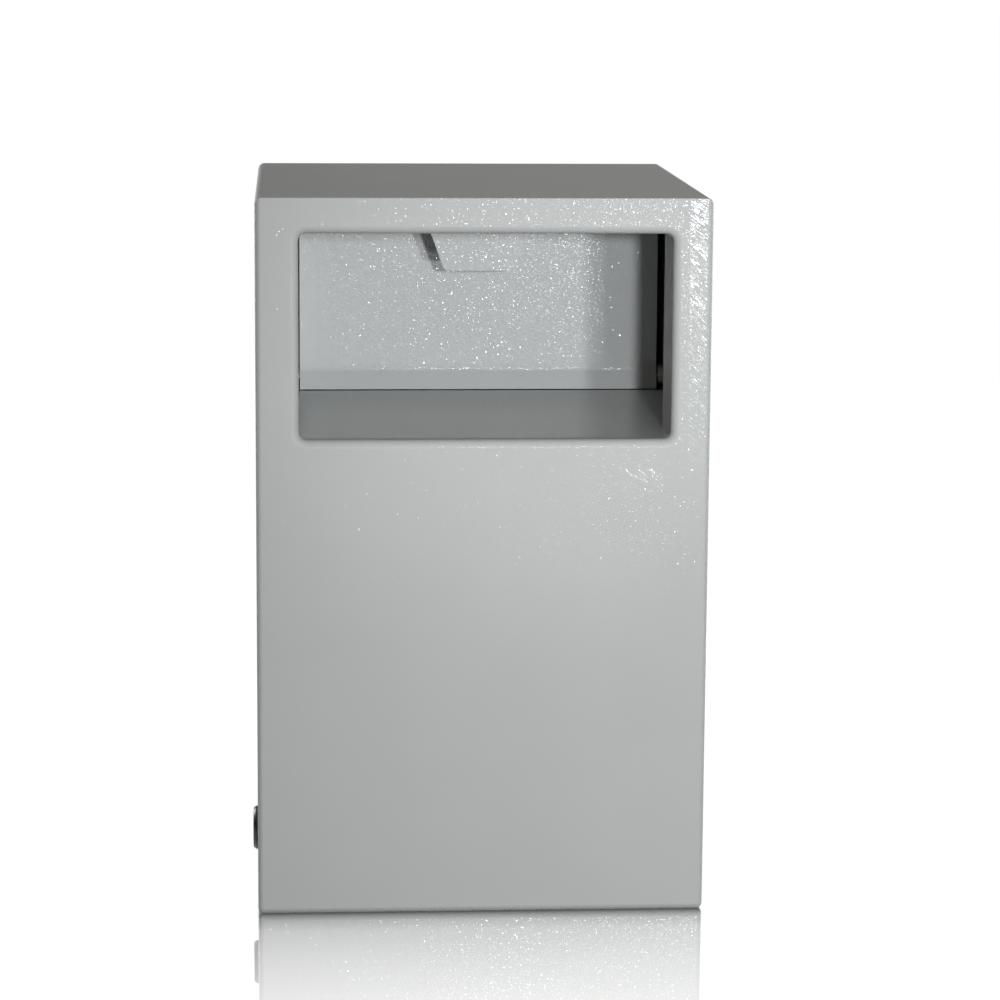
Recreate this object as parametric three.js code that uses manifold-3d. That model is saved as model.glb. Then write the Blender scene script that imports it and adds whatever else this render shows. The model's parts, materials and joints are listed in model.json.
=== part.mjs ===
// A deposit safe for a counter: a welded steel body with an open deposit recess in its front,
// a sprung tilting flap at the back of the recess, and a bolted door on the staff side.
// Millimetres, +Z up. The origin is the centre of the underside, the customer stands at -Y
// and X runs to the customer's right.

import * as THREE from 'three';
import { mergeVertices } from 'three/addons/utils/BufferGeometryUtils.js';
import Module from 'manifold-3d';

const wasm = await Module();
wasm.setup();

// Body shell
const WIDTH = 380;
const SHEET = 4;
const TOP_FOLD_RADIUS = 6;
const FRONT_FOLD_RADIUS = 5;
const FOOT_FOLD_RADIUS = 8;
const PAN_RETURN = 25;
const ANCHOR_HOLE_RADIUS = 7;
const ANCHOR_INSET = 60;
const SEAM = 0.25;

// Deposit recess
const BORDER_LEFT = 36;
const BORDER_RIGHT = 33;
const BORDER_TOP = 30;
const RECESS_HEIGHT = 172;
const RECESS_CORNER = 6;
const RIM_RADIUS = 7;
const RIM_LIP = 6;
const COLLAR_LENGTH = 54;
const COLLAR_SHEET = 3;
const SHELF_APRON = 20;
const SHELF_ABOVE_DOOR = 64.5;

// Tilting flap
const FLAP_DEPTH = 315;
const THROAT_DEPTH = 85;
const FLAP_SHEET = 3;
const FLAP_CHEEK_GAP = 2;
const FLAP_WALL_GAP = 7.6;
const FLAP_HEAD_GAP = 8;
const FLAP_FLANGE = 16;
const FLANGE_RISE = 30;
const FLAP_OPEN_ANGLE = 50;
const LIP_ANGLE = 22;
const LIP_CLEARANCE = 1.5;
const AXLE_RADIUS = 6;
const AXLE_CLEARANCE = 1;
const AXLE_ABOVE_SHELF = 5;
const AXLE_RUNNING_GAP = 0.3;
const EAR_WALL = 4;
const CHEEK_PAST_EAR = 12;
const BUSH_WALL = 6;
const BUSH_LENGTH = 6;
const BUSH_FLOOR = 1.5;

// Pull handle
const TAB_GAP = 75;
const HANDLE_SHEET = 3;
const HANDLE_FOLD_RADIUS = 4;
const HANDLE_X = 9.3;
const ARM_BELOW_OPENING = 7;
const TAB_HEIGHT = 47.5;
const TAB_TOP_WIDTH = 98;
const TAB_TAPER = 20;
const TAB_CORNER = 6.5;
const FOOT_HEIGHT = 22;
const RIVET_RADIUS = 2.5;
const RIVET_HEAD_RADIUS = 5;
const RIVET_HEAD_HEIGHT = 2;
const RIVET_SPACING = 60;

// Scoop that closes the throat while the flap is open
const SCOOP_SHEET = 2;
const SCOOP_END_GAP = 3;
const SCOOP_SIDE_GAP = 2;
const SCOOP_EYE_WRAP = 75;
const SCOOP_TEETH = 12;
const SCOOP_TOOTH_DEPTH = 8;

// Return spring and its crank, in the box beside the left cheek
const SPRING_WIRE = 2.5;
const SPRING_AXLE_GAP = 2.25;
const SPRING_TURNS = 4;
const SPRING_COIL_GAP = 0.8;
const SPRING_LEG = 20;
const SPRING_SIDES = 5;
const SPRING_STEPS = 8;
const CRANK_THICKNESS = 4;
const CRANK_WALL = 5;
const PEG_RADIUS = 2;
const POST_RADIUS = 3;
const PEG_REACH = 14;

// Flap stop and chute
const STOP_LEG = 30;
const STOP_SHEET = 3;
const STOP_END_INSET = 20;
const BUMPER_THICKNESS = 3;
const BUMPER_WIDTH = 14;
const BUMPER_MARGIN = 4;
const BUMPER_CORNER = 4.5;
const CHUTE_SHEET = 2;
const CHUTE_REACH = 46;
const CHUTE_DROP = 20;
const CHUTE_FLANGE = 16;

// Door frame and door
const FRAME_SHEET = 5;
const JAMB_WIDTH = 27.5;
const JAMB_LEG = 35;
const HEADER_LEG = 15;
const SILL_HEIGHT = 27.5;
const DOOR_OPENING_HEIGHT = 312;
const DOOR_GAP = 1.5;
const DOOR_SHEET = 8;
const DOOR_CORNER = 4;
const HINGE_RADIUS = 7;
const HINGE_PIN_RADIUS = 4;
const HINGE_OFFSET = 6;
const HINGE_HALF_LENGTH = 22;
const HINGE_STRAP = 24;
const HINGE_STRAP_SHEET = 4;
const HINGE_SPACING = 195;
const HINGE_CAP = 3;
const DOG_BAR_LAP = 7.5;
const DOG_BAR_WIDTH = 16;
const DOG_BAR_DEPTH = 14;
const DOG_BAR_INSET = 27;

// Boltwork
const BOLT_RADIUS = 10;
const BOLT_THROW = 18;
const BOLT_SETBACK = 3;
const BOLT_PITCH = 110;
const BOLT_STANDOFF = 14;
const BOLT_LENGTH = 46;
const BOLT_TAIL_RADIUS = 6;
const BOLT_TAIL_LENGTH = 42;
const BOLT_POINT = 2;
const BAR_THICKNESS = 8;
const BAR_WIDTH = 21;
const BAR_OVERHANG = 16;
const BAR_CORNER = 3;
const TONGUE_SHEET = 4;
const TONGUE_BELOW = 6;
const TONGUE_ABOVE = 32;
const TONGUE_PAST_SLOT = 16;
const GUIDE_SHEET = 3;
const GUIDE_EDGE = 9;
const GUIDE_FOOT = 22;
const GUIDE_HEIGHT = 31;
const GUIDE_GAP = 0.6;
const TAIL_GUIDE_HEIGHT = 24;
const TAIL_GUIDE_FOOT = 14;

// Lever handle
const SPINDLE_EDGE = 112;
const SPINDLE_RADIUS = 6;
const HANDLE_TURN = 90;
const CAM_SHEET = 5;
const CAM_WALL = 4;
const CAM_DOOR_GAP = 5;
const CAM_PIN_RADIUS = 4;
const CAM_PIN_PAST_TONGUE = 2;
const SLOT_PLAY = 0.6;
const ROSE_RADIUS = 24;
const ROSE_THICKNESS = 5;
const ROSE_BEVEL = 3;
const BOSS_RADIUS = 13;
const BOSS_LENGTH = 23;
const BOSS_BEVEL = 2;
const BOSS_END_WALL = 3;
const LEVER_LENGTH = 100;
const LEVER_ROOT_WIDTH = 20;
const LEVER_END_WIDTH = 14;
const LEVER_THICKNESS = 12;
const LEVER_SETBACK = 1;
const LEVER_TIP_RADIUS = 6.5;

// Lock
const LOCK_FROM_SPINDLE = 28.5;
const LOCK_WIDTH = 47;
const LOCK_HEIGHT = 50;
const LOCK_DEPTH = 20;
const LOCK_CORNER = 3;
const LOCK_ABOVE_TONGUE = 13;
const LOCK_BOLT_WIDTH = 12;
const LOCK_BOLT_DEPTH = 8;
const LOCK_BOLT_LENGTH = 30;
const LOCK_BOLT_THROW = 8;
const LOCK_BOLT_GAP = 0.4;
const LOCK_BOLT_CORNER = 1;
const LOCK_BOLT_LIFT = 1;
const DRILL_PLATE_SHEET = 3;
const DRILL_PLATE_MARGIN = 2;
const KEY_ABOVE_CASE = 28;
const KEY_RADIUS = 5;
const KEY_SLOT_WIDTH = 4;
const KEY_SLOT_LENGTH = 12;
const ESCUTCHEON_RADIUS = 19;
const ESCUTCHEON_THICKNESS = 3;
const KEY_COVER_SHEET = 2;
const KEY_COVER_RADIUS = 9;
const KEY_COVER_PIVOT = 13;
const KEY_COVER_EYE = 5;
const KEY_RIVET_RADIUS = 2;
const KEY_RIVET_HEAD_RADIUS = 4;
const KEY_RIVET_HEAD_HEIGHT = 1.6;

// Inner cover of the boltwork
const COVER_SHEET = 1.5;
const COVER_DEPTH = 40;
const COVER_LEFT = 65;
const COVER_RIGHT_GAP = 3;
const COVER_ABOVE_BAR = 3;
const PILLAR_RADIUS = 5;
const PILLAR_INSET = 10;
const PILLAR_END_INSET = 15;
const PILLAR_RIGHT_Z = 55;
const SCREW_RADIUS = 2.5;
const SCREW_HEAD_RADIUS = 4.5;
const SCREW_HEAD_HEIGHT = 2.5;
const SCREW_HEAD_BEVEL = 0.9;
const SCREW_LENGTH = 8;

// Blanking plug in the cable hole of the left side
const PLUG_DEPTH = 60;
const PLUG_Z = 60.5;
const PLUG_HEAD_RADIUS = 18.7;
const PLUG_HEAD_HEIGHT = 4;
const PLUG_HEAD_BEVEL = 2;
const PLUG_BARREL_RADIUS = 16;
const PLUG_BARREL_LENGTH = 7;

// Facets of an arc, the distance at which corners merge, and how far a cutter runs past its cut
const CIRCLE_SIDES = 32;
const SMALL_SIDES = 16;
const CORNER_STEPS = 5;
const DOME_STEPS = 3;
const MERGE_DISTANCE = 1e-4;
const PAST = 1;

// Places worked out from the sizes: the door, the throat over it and the recess add up to the
// height, and the recess and the throat behind its flap to the depth
const openingBottom = SHEET + SILL_HEIGHT;
const openingTop = openingBottom + DOOR_OPENING_HEIGHT;
const shelfTop = openingTop + SHELF_ABOVE_DOOR;
const openTop = shelfTop + RECESS_HEIGHT;
const height = openTop + BORDER_TOP;
const depth = FLAP_DEPTH + THROAT_DEPTH;

const frontY = -depth / 2;
const rearY = depth / 2;
const innerX = WIDTH / 2 - SHEET;
const innerTop = height - SHEET;
const panEnd = frontY + PAN_RETURN;

const openLeft = -WIDTH / 2 + BORDER_LEFT;
const openRight = WIDTH / 2 - BORDER_RIGHT;
const lipEnd = frontY + RIM_RADIUS + RIM_LIP;
const collarEnd = lipEnd + COLLAR_LENGTH;
const plugY = frontY + PLUG_DEPTH;

const flapY = frontY + FLAP_DEPTH;
const flapBack = flapY + FLAP_SHEET;
const flapLeft = openLeft + FLAP_CHEEK_GAP;
const flapRight = innerX - FLAP_WALL_GAP;
const flapTop = innerTop - FLAP_HEAD_GAP;
const flapFlangeEnd = flapY + FLAP_FLANGE;
const lipSlope = THREE.MathUtils.degToRad(LIP_ANGLE);
const axleZ = shelfTop + AXLE_ABOVE_SHELF + AXLE_RADIUS;
const lipFoldZ = axleZ + AXLE_RADIUS + AXLE_CLEARANCE;
const axleFromLip = FLAP_SHEET + AXLE_RADIUS + AXLE_CLEARANCE;
const axleY = flapY
  + (axleFromLip + (axleZ - lipFoldZ) * Math.sin(lipSlope)) / Math.cos(lipSlope);
const lipBottomZ = shelfTop + LIP_CLEARANCE;
const lipReach = (lipFoldZ - lipBottomZ) * Math.tan(lipSlope);
const lipBottomY = flapY - lipReach;
const shelfEnd = lipBottomY - LIP_CLEARANCE;
const earRadius = AXLE_RADIUS + EAR_WALL;
const bushInnerX = innerX - BUSH_LENGTH;
const cheekEnd = axleY + earRadius + CHEEK_PAST_EAR;

const armTop = openTop - ARM_BELOW_OPENING;
const tabBack = flapY - TAB_GAP;

const frameInnerY = rearY - FRAME_SHEET;
const jambEdge = innerX - JAMB_WIDTH;
const doorX = jambEdge - DOOR_GAP;
const doorBottom = openingBottom + DOOR_GAP;
const doorTop = openingTop - DOOR_GAP;
const doorMidZ = (doorBottom + doorTop) / 2;
const doorInnerY = rearY - DOOR_SHEET;
const hingeX = -doorX - HINGE_OFFSET;
const hingeY = rearY + SEAM + HINGE_RADIUS;

const boltY = doorInnerY - BOLT_STANDOFF;
const boltTipX = doorX - BOLT_SETBACK;
const barRight = boltTipX - BOLT_LENGTH;
const barLeft = barRight - BAR_THICKNESS;
const barHalf = BOLT_PITCH + BAR_OVERHANG;
const guideRight = doorX - GUIDE_EDGE;
const spindleX = doorX - SPINDLE_EDGE;
const camRadius = BOLT_THROW / 2 / Math.sin(THREE.MathUtils.degToRad(HANDLE_TURN / 2));
const camPinX = spindleX - BOLT_THROW / 2;
const camPinZ = doorMidZ + camRadius * Math.cos(THREE.MathUtils.degToRad(HANDLE_TURN / 2));
const camFar = doorInnerY - CAM_DOOR_GAP;
const camNear = camFar - CAM_SHEET;
const tongueY = boltY - TONGUE_SHEET;
const tongueLeft = camPinX - TONGUE_PAST_SLOT;
const tongueTop = doorMidZ + TONGUE_ABOVE;
const tongueMidY = tongueY + TONGUE_SHEET / 2;

const lockX = spindleX + LOCK_FROM_SPINDLE;
const lockBoltFoot = tongueTop + LOCK_BOLT_LIFT;
const lockBottom = tongueTop + LOCK_ABOVE_TONGUE;
const lockFar = doorInnerY - DRILL_PLATE_SHEET - 2 * SEAM;
const lockNear = lockFar - LOCK_DEPTH;
const keyZ = lockBottom + KEY_ABOVE_CASE;
const keyPivotZ = keyZ + KEY_COVER_PIVOT;

const coverLeft = spindleX - COVER_LEFT;
const coverRight = guideRight - GUIDE_SHEET - COVER_RIGHT_GAP;
const coverY = doorInnerY - COVER_DEPTH;
const coverHalf = barHalf + COVER_ABOVE_BAR;

// Solids

// A three.js geometry as a closed solid: shared corners merged, collapsed triangles dropped.
function solidFrom(geometry) {
  geometry.deleteAttribute('normal');
  geometry.deleteAttribute('uv');
  const merged = mergeVertices(geometry, MERGE_DISTANCE);
  const corners = merged.index.array;
  const kept = [];
  for (let i = 0; i < corners.length; i += 3) {
    const [a, b, c] = corners.slice(i, i + 3);
    if (a !== b && b !== c && c !== a) kept.push(a, b, c);
  }
  const vertProperties = merged.attributes.position.array;
  const mesh = new wasm.Mesh({ numProp: 3, vertProperties, triVerts: new Uint32Array(kept) });
  return new wasm.Manifold(mesh);
}

function geometryFrom(solid) {
  const mesh = solid.getMesh();
  const geometry = new THREE.BufferGeometry();
  geometry.setAttribute('position', new THREE.BufferAttribute(mesh.vertProperties, 3));
  geometry.setIndex(new THREE.BufferAttribute(mesh.triVerts, 1));
  geometry.computeVertexNormals();
  return geometry;
}

function join(first, ...others) {
  return others.reduce((whole, piece) => whole.add(piece), first);
}

function cut(first, ...others) {
  return others.reduce((whole, piece) => whole.subtract(piece), first);
}

// Points of a closed outline through [u, v, radius] corners, with an arc at each radius.
function outline(corners) {
  const points = [];
  corners.forEach(([u, v, radius], i) => {
    const corner = new THREE.Vector2(u, v);
    if (!radius) {
      points.push(corner);
      return;
    }
    const last = corners[(i + corners.length - 1) % corners.length];
    const next = corners[(i + 1) % corners.length];
    const back = new THREE.Vector2(last[0], last[1]).sub(corner).normalize();
    const ahead = new THREE.Vector2(next[0], next[1]).sub(corner).normalize();
    const half = Math.acos(THREE.MathUtils.clamp(back.dot(ahead), -1, 1)) / 2;
    const middle = back.clone().add(ahead).normalize();
    const centre = corner.clone().addScaledVector(middle, radius / Math.sin(half));
    const start = corner.clone().addScaledVector(back, radius / Math.tan(half)).sub(centre);
    const turn = (Math.PI - 2 * half) * Math.sign(start.cross(middle.negate()));
    for (let step = 0; step <= CORNER_STEPS; step++) {
      const spoke = start.clone().rotateAround(new THREE.Vector2(), turn * step / CORNER_STEPS);
      points.push(spoke.add(centre));
    }
  });
  return points;
}

function circle(u, v, radius, sides = CIRCLE_SIDES) {
  const points = [];
  for (let i = 0; i < sides; i++) {
    const angle = 2 * Math.PI * i / sides;
    points.push(new THREE.Vector2(u + radius * Math.cos(angle), v + radius * Math.sin(angle)));
  }
  return points;
}

function rectangle(u0, u1, v0, v1, radius = 0) {
  return outline([[u0, v0, radius], [u1, v0, radius], [u1, v1, radius], [u0, v1, radius]]);
}

// An outline in Y and Z runs along x, one in X and Z along y, and one in X and Y along z.
const TURN = {
  x: new THREE.Matrix4().set(0, 0, 1, 0, 1, 0, 0, 0, 0, 1, 0, 0, 0, 0, 0, 1),
  y: new THREE.Matrix4().set(1, 0, 0, 0, 0, 0, -1, 0, 0, 1, 0, 0, 0, 0, 0, 1),
  z: new THREE.Matrix4(),
};

function prism(along, points, from, to, holes = []) {
  const shape = new THREE.Shape(points);
  shape.holes = holes.map((hole) => new THREE.Path(hole));
  const options = { depth: to - from, bevelEnabled: false };
  const geometry = new THREE.ExtrudeGeometry(shape, options);
  geometry.translate(0, 0, along === 'y' ? -to : from);
  return solidFrom(geometry.applyMatrix4(TURN[along]));
}

function block(x0, x1, y0, y1, z0, z1) {
  const geometry = new THREE.BoxGeometry(x1 - x0, y1 - y0, z1 - z0);
  geometry.translate((x0 + x1) / 2, (y0 + y1) / 2, (z0 + z1) / 2);
  return solidFrom(geometry);
}

// A turned piece: [radius, place] points from the low end to the high end, both on the axis.
function turned(along, u, v, profile, sides = CIRCLE_SIDES) {
  const points = profile.map(([radius, place]) => new THREE.Vector2(radius, place));
  const geometry = new THREE.LatheGeometry(points, sides);
  if (along === 'x') geometry.rotateZ(-Math.PI / 2).translate(0, u, v);
  if (along === 'y') geometry.translate(u, 0, v);
  if (along === 'z') geometry.rotateX(Math.PI / 2).translate(u, v, 0);
  return solidFrom(geometry);
}

// Profile points of a domed head, from its rim to its crown.
function dome(radius, place, height) {
  const points = [];
  for (let step = 0; step <= DOME_STEPS; step++) {
    const angle = Math.PI / 2 * step / DOME_STEPS;
    points.push([radius * Math.cos(angle), place + height * Math.sin(angle)]);
  }
  points[DOME_STEPS][0] = 0;
  return points;
}

// A closed solid through rings of equal length, each a convex outline at its own depth.
function lofted(rings) {
  const positions = [];
  const size = rings[0].points.length;
  for (const { points, y } of rings) {
    for (const point of points) positions.push(point.x, y, point.y);
  }
  const faces = [];
  for (let ring = 0; ring < rings.length - 1; ring++) {
    for (let i = 0; i < size; i++) {
      const a = ring * size + i;
      const b = ring * size + (i + 1) % size;
      faces.push(a, b, b + size, a, b + size, a + size);
    }
  }
  const end = (rings.length - 1) * size;
  for (let i = 1; i < size - 1; i++) {
    faces.push(0, i + 1, i, end, end + i, end + i + 1);
  }
  const geometry = new THREE.BufferGeometry();
  geometry.setAttribute('position', new THREE.Float32BufferAttribute(positions, 3));
  geometry.setIndex(faces.reverse());
  return solidFrom(geometry);
}

// Body shell

function planOutline(inset, end) {
  const x = WIDTH / 2 - inset;
  const radius = FRONT_FOLD_RADIUS - inset;
  const y = frontY + inset;
  return outline([[-x, y, radius], [x, y, radius], [x, end, 0], [-x, end, 0]]);
}

function sideOutline(inset, end, top) {
  const y = frontY + inset;
  return outline([[y, inset, FOOT_FOLD_RADIUS - inset], [end, inset, 0], [end, top, 0], [y, top, 0]]);
}

function archOutline(inset, bottom) {
  const x = WIDTH / 2 - inset;
  const top = height - inset;
  const radius = TOP_FOLD_RADIUS - inset;
  return outline([[-x, bottom, 0], [x, bottom, 0], [x, top, radius], [-x, top, radius]]);
}

function panSolid(inset, end) {
  const plan = prism('z', planOutline(inset, end), -PAST, height + PAST);
  const side = prism('x', sideOutline(inset, end, height + PAST), -WIDTH, WIDTH);
  return plan.intersect(side);
}

// The opening's outline, grown outwards by an offset.
function openingOutline(offset) {
  const left = openLeft - offset;
  const right = openRight + offset;
  return rectangle(left, right, shelfTop - offset, openTop + offset, RECESS_CORNER + offset);
}

// The rolled rim: the sheet turns in round a quarter circle and runs straight to the collar.
function rimSolid(thickness, start, end) {
  const radius = RIM_RADIUS - thickness;
  const rings = [{ points: openingOutline(RIM_RADIUS), y: start }];
  for (let step = 0; step <= CORNER_STEPS; step++) {
    const angle = Math.PI / 2 * step / CORNER_STEPS;
    const offset = RIM_RADIUS - radius * Math.sin(angle);
    const y = frontY + RIM_RADIUS - radius * Math.cos(angle);
    rings.push({ points: openingOutline(offset), y });
  }
  rings.push({ points: openingOutline(thickness), y: end });
  return lofted(rings);
}

function frontPanel() {
  const shell = cut(panSolid(0, panEnd), panSolid(SHEET, panEnd + PAST));
  const foldStart = height - TOP_FOLD_RADIUS - SEAM;
  const low = block(-WIDTH, WIDTH, frontY - PAST, panEnd + PAST, -PAST, foldStart);
  const underTop = prism('y', archOutline(SHEET + SEAM, 0), frontY - PAST, frontY + SHEET);
  const pan = shell.intersect(join(low, underTop));
  const rim = rimSolid(SHEET, frontY + SHEET / 2, lipEnd);
  return cut(join(pan, rim), rimSolid(0, frontY - PAST, lipEnd + PAST));
}

function bodyWrap() {
  const outer = prism('y', archOutline(0, 0), frontY, rearY);
  const inner = prism('y', archOutline(SHEET, -PAST), frontY - PAST, rearY + PAST);
  const plan = prism('z', planOutline(0, rearY), -PAST, height + PAST);
  const foldStart = height - TOP_FOLD_RADIUS;
  const panRoom = block(-WIDTH, WIDTH, frontY - PAST, panEnd + SEAM, -PAST, foldStart);
  const cableHole = prism('x', circle(plugY, PLUG_Z, PLUG_BARREL_RADIUS + SEAM), -WIDTH, 0);
  return cut(outer, inner, panRoom, cableHole).intersect(plan);
}

function basePlate() {
  const holes = [];
  const x = WIDTH / 2 - ANCHOR_INSET;
  const y = depth / 2 - ANCHOR_INSET;
  for (const sx of [-1, 1]) {
    for (const sy of [-1, 1]) holes.push(circle(sx * x, sy * y, ANCHOR_HOLE_RADIUS, SMALL_SIDES));
  }
  const edge = innerX - SEAM;
  return prism('z', rectangle(-edge, edge, panEnd + SEAM, rearY), 0, SHEET, holes);
}

// Deposit recess

function recessCollar() {
  const foot = shelfTop + SEAM;
  const left = openLeft - COLLAR_SHEET;
  const right = openRight + COLLAR_SHEET;
  const top = openTop + COLLAR_SHEET;
  const outer = RECESS_CORNER + COLLAR_SHEET;
  const points = outline([
    [left, foot, 0], [openLeft, foot, 0], [openLeft, openTop, RECESS_CORNER],
    [openRight, openTop, RECESS_CORNER], [openRight, foot, 0], [right, foot, 0],
    [right, top, outer], [left, top, outer],
  ]);
  return prism('y', points, lipEnd + SEAM, collarEnd);
}

function depositShelf() {
  const start = lipEnd + SEAM;
  const points = outline([
    [start, shelfTop - SHEET, 0], [shelfEnd - SHEET, shelfTop - SHEET, 0],
    [shelfEnd - SHEET, shelfTop - SHELF_APRON, 0], [shelfEnd, shelfTop - SHELF_APRON, 0],
    [shelfEnd, shelfTop, SHEET], [start, shelfTop, 0],
  ]);
  return prism('x', points, -innerX + SEAM, innerX - SEAM);
}

function leftCheek() {
  const foot = shelfTop + SEAM;
  const low = shelfTop - SHELF_APRON;
  const points = outline([
    [collarEnd + SEAM, foot, 0], [shelfEnd + SEAM, foot, 0], [shelfEnd + SEAM, low, 0],
    [cheekEnd, low, 0], [cheekEnd, innerTop - SEAM, 0], [collarEnd + SEAM, innerTop - SEAM, 0],
  ]);
  const hole = circle(axleY, axleZ, AXLE_RADIUS + AXLE_CLEARANCE);
  return prism('x', points, openLeft - COLLAR_SHEET, openLeft, [hole]);
}

// A flanged bush on the wall, with a blind bore for the end of the axle.
function pivotBush(side) {
  const outer = circle(axleY, axleZ, AXLE_RADIUS + BUSH_WALL);
  const bore = circle(axleY, axleZ, AXLE_RADIUS + AXLE_RUNNING_GAP);
  const wall = innerX - SEAM;
  const floor = wall - BUSH_FLOOR;
  if (side < 0) return cut(prism('x', outer, -wall, -bushInnerX), prism('x', bore, -floor, 0));
  return cut(prism('x', outer, bushInnerX, wall), prism('x', bore, 0, floor));
}

// Tilting flap

// The front plate runs down to the fold and turns forward in front of the axle.
function flapPlate() {
  const across = FLAP_SHEET / Math.cos(lipSlope);
  const foldBack = lipFoldZ - FLAP_SHEET * Math.tan(lipSlope / 2);
  const front = outline([
    [flapY, flapTop, 0], [flapY, lipFoldZ, 0], [lipBottomY, lipBottomZ, 0],
    [lipBottomY + across, lipBottomZ, 0], [flapBack, foldBack, 0], [flapBack, flapTop, 0],
  ]);
  const plate = prism('x', front, flapLeft, flapRight);
  const flange = outline([
    [flapY + FLAP_SHEET / 2, flapTop, 0], [flapY + FLAP_SHEET / 2, axleZ, 0],
    [axleY, axleZ, 0], [axleY + earRadius, axleZ, 0],
    [flapFlangeEnd, axleZ + FLANGE_RISE, earRadius], [flapFlangeEnd, flapTop, 0],
  ]);
  const ear = circle(axleY, axleZ, earRadius);
  const hole = circle(axleY, axleZ, AXLE_RADIUS + SEAM);
  const sides = [flapLeft, flapRight - FLAP_SHEET].map((x) => {
    const whole = join(prism('x', flange, x, x + FLAP_SHEET), prism('x', ear, x, x + FLAP_SHEET));
    return cut(whole, prism('x', hole, x - PAST, x + FLAP_SHEET + PAST));
  });
  return join(plate, ...sides);
}

function rivetPlaces() {
  return [-1, 1].map((side) => HANDLE_X + side * RIVET_SPACING / 2);
}

const rivetZ = armTop + FOOT_HEIGHT / 2;

// One bent strip: a foot on the flap, an arm towards the user and a tapered tab hanging down.
function pullHandle() {
  const back = flapY - SEAM;
  const under = armTop - HANDLE_SHEET;
  const front = tabBack - HANDLE_SHEET;
  const tip = armTop - TAB_HEIGHT;
  const inner = HANDLE_FOLD_RADIUS - HANDLE_SHEET;
  const strip = prism('x', outline([
    [back, armTop + FOOT_HEIGHT, 0], [back - HANDLE_SHEET, armTop + FOOT_HEIGHT, 0],
    [back - HANDLE_SHEET, armTop, inner], [front, armTop, HANDLE_FOLD_RADIUS], [front, tip, 0],
    [tabBack, tip, 0], [tabBack, under, inner], [back, under, HANDLE_FOLD_RADIUS],
  ]), HANDLE_X - TAB_TOP_WIDTH / 2, HANDLE_X + TAB_TOP_WIDTH / 2);
  const half = TAB_TOP_WIDTH / 2;
  const narrow = half - TAB_HEIGHT * Math.tan(THREE.MathUtils.degToRad(TAB_TAPER));
  const face = outline([
    [HANDLE_X - half, armTop + FOOT_HEIGHT, TAB_CORNER], [HANDLE_X - half, armTop, 0],
    [HANDLE_X - narrow, tip, TAB_CORNER], [HANDLE_X + narrow, tip, TAB_CORNER],
    [HANDLE_X + half, armTop, 0], [HANDLE_X + half, armTop + FOOT_HEIGHT, TAB_CORNER],
  ]);
  const holes = rivetPlaces().map((x) => {
    const hole = circle(x, rivetZ, RIVET_RADIUS + SEAM, SMALL_SIDES);
    return prism('y', hole, back - HANDLE_SHEET - PAST, back + PAST);
  });
  return cut(strip.intersect(prism('y', face, front - PAST, back + PAST)), ...holes);
}

function handleRivet(x) {
  const head = flapY - SEAM - HANDLE_SHEET - SEAM;
  const crownFirst = dome(RIVET_HEAD_RADIUS, head, -RIVET_HEAD_HEIGHT).reverse();
  const shank = [[RIVET_RADIUS, head], [RIVET_RADIUS, flapY - SEAM], [0, flapY - SEAM]];
  return turned('y', x, rivetZ, [...crownFirst, ...shank], SMALL_SIDES);
}

function flapAxle() {
  const end = innerX - SEAM - BUSH_FLOOR - AXLE_RUNNING_GAP;
  return prism('x', circle(axleY, axleZ, AXLE_RADIUS), -end, end);
}

// A sheet rolled over the top of the axle that hangs back into the throat, with a toothed edge.
// It lies level when the flap is fully open.
function scoopBaffle() {
  const slope = -THREE.MathUtils.degToRad(FLAP_OPEN_ANGLE);
  const inner = AXLE_RADIUS + SEAM;
  const outer = inner + SCOOP_SHEET;
  const reach = frameInnerY - axleY - SCOOP_END_GAP;
  const wrap = THREE.MathUtils.degToRad(SCOOP_EYE_WRAP);
  const along = new THREE.Vector2(Math.cos(slope), Math.sin(slope));
  const across = new THREE.Vector2(-Math.sin(slope), Math.cos(slope));
  const axle = new THREE.Vector2(axleY, axleZ);
  const at = (a, b) => axle.clone().addScaledVector(along, a).addScaledVector(across, b);
  const points = [at(reach, inner), at(reach, outer)];
  for (let step = 0; step <= CORNER_STEPS; step++) {
    const angle = wrap * step / CORNER_STEPS;
    points.push(at(-outer * Math.sin(angle), outer * Math.cos(angle)));
  }
  for (let step = CORNER_STEPS; step >= 0; step--) {
    const angle = wrap * step / CORNER_STEPS;
    points.push(at(-inner * Math.sin(angle), inner * Math.cos(angle)));
  }
  const left = flapLeft + FLAP_SHEET + SCOOP_SIDE_GAP;
  const right = flapRight - FLAP_SHEET - SCOOP_SIDE_GAP;
  const plate = prism('x', points, left, right);
  const half = (right - left) / SCOOP_TEETH / 2;
  const notches = [];
  for (let x = left + half; x < right; x += 2 * half) {
    const notch = outline([
      [x, reach - SCOOP_TOOTH_DEPTH, 0], [x + half, reach + PAST, 0], [x - half, reach + PAST, 0],
    ]);
    const level = prism('z', notch, inner - PAST, outer + PAST);
    notches.push(level.rotate([-FLAP_OPEN_ANGLE, 0, 0]).translate([0, axleY, axleZ]));
  }
  return cut(plate, ...notches);
}

// Return spring

const springRadius = AXLE_RADIUS + SPRING_AXLE_GAP + SPRING_WIRE / 2;
const springPitch = SPRING_WIRE + SPRING_COIL_GAP;
const crankRight = openLeft - COLLAR_SHEET - AXLE_CLEARANCE;
const crankLeft = crankRight - CRANK_THICKNESS;
const springEnd = crankLeft - SPRING_WIRE / 2 - AXLE_CLEARANCE;
const springStart = springEnd - SPRING_TURNS * springPitch;
const pegOffset = SPRING_WIRE / 2 + SEAM + PEG_RADIUS;
const postOffset = SPRING_WIRE / 2 + SEAM + POST_RADIUS;

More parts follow.
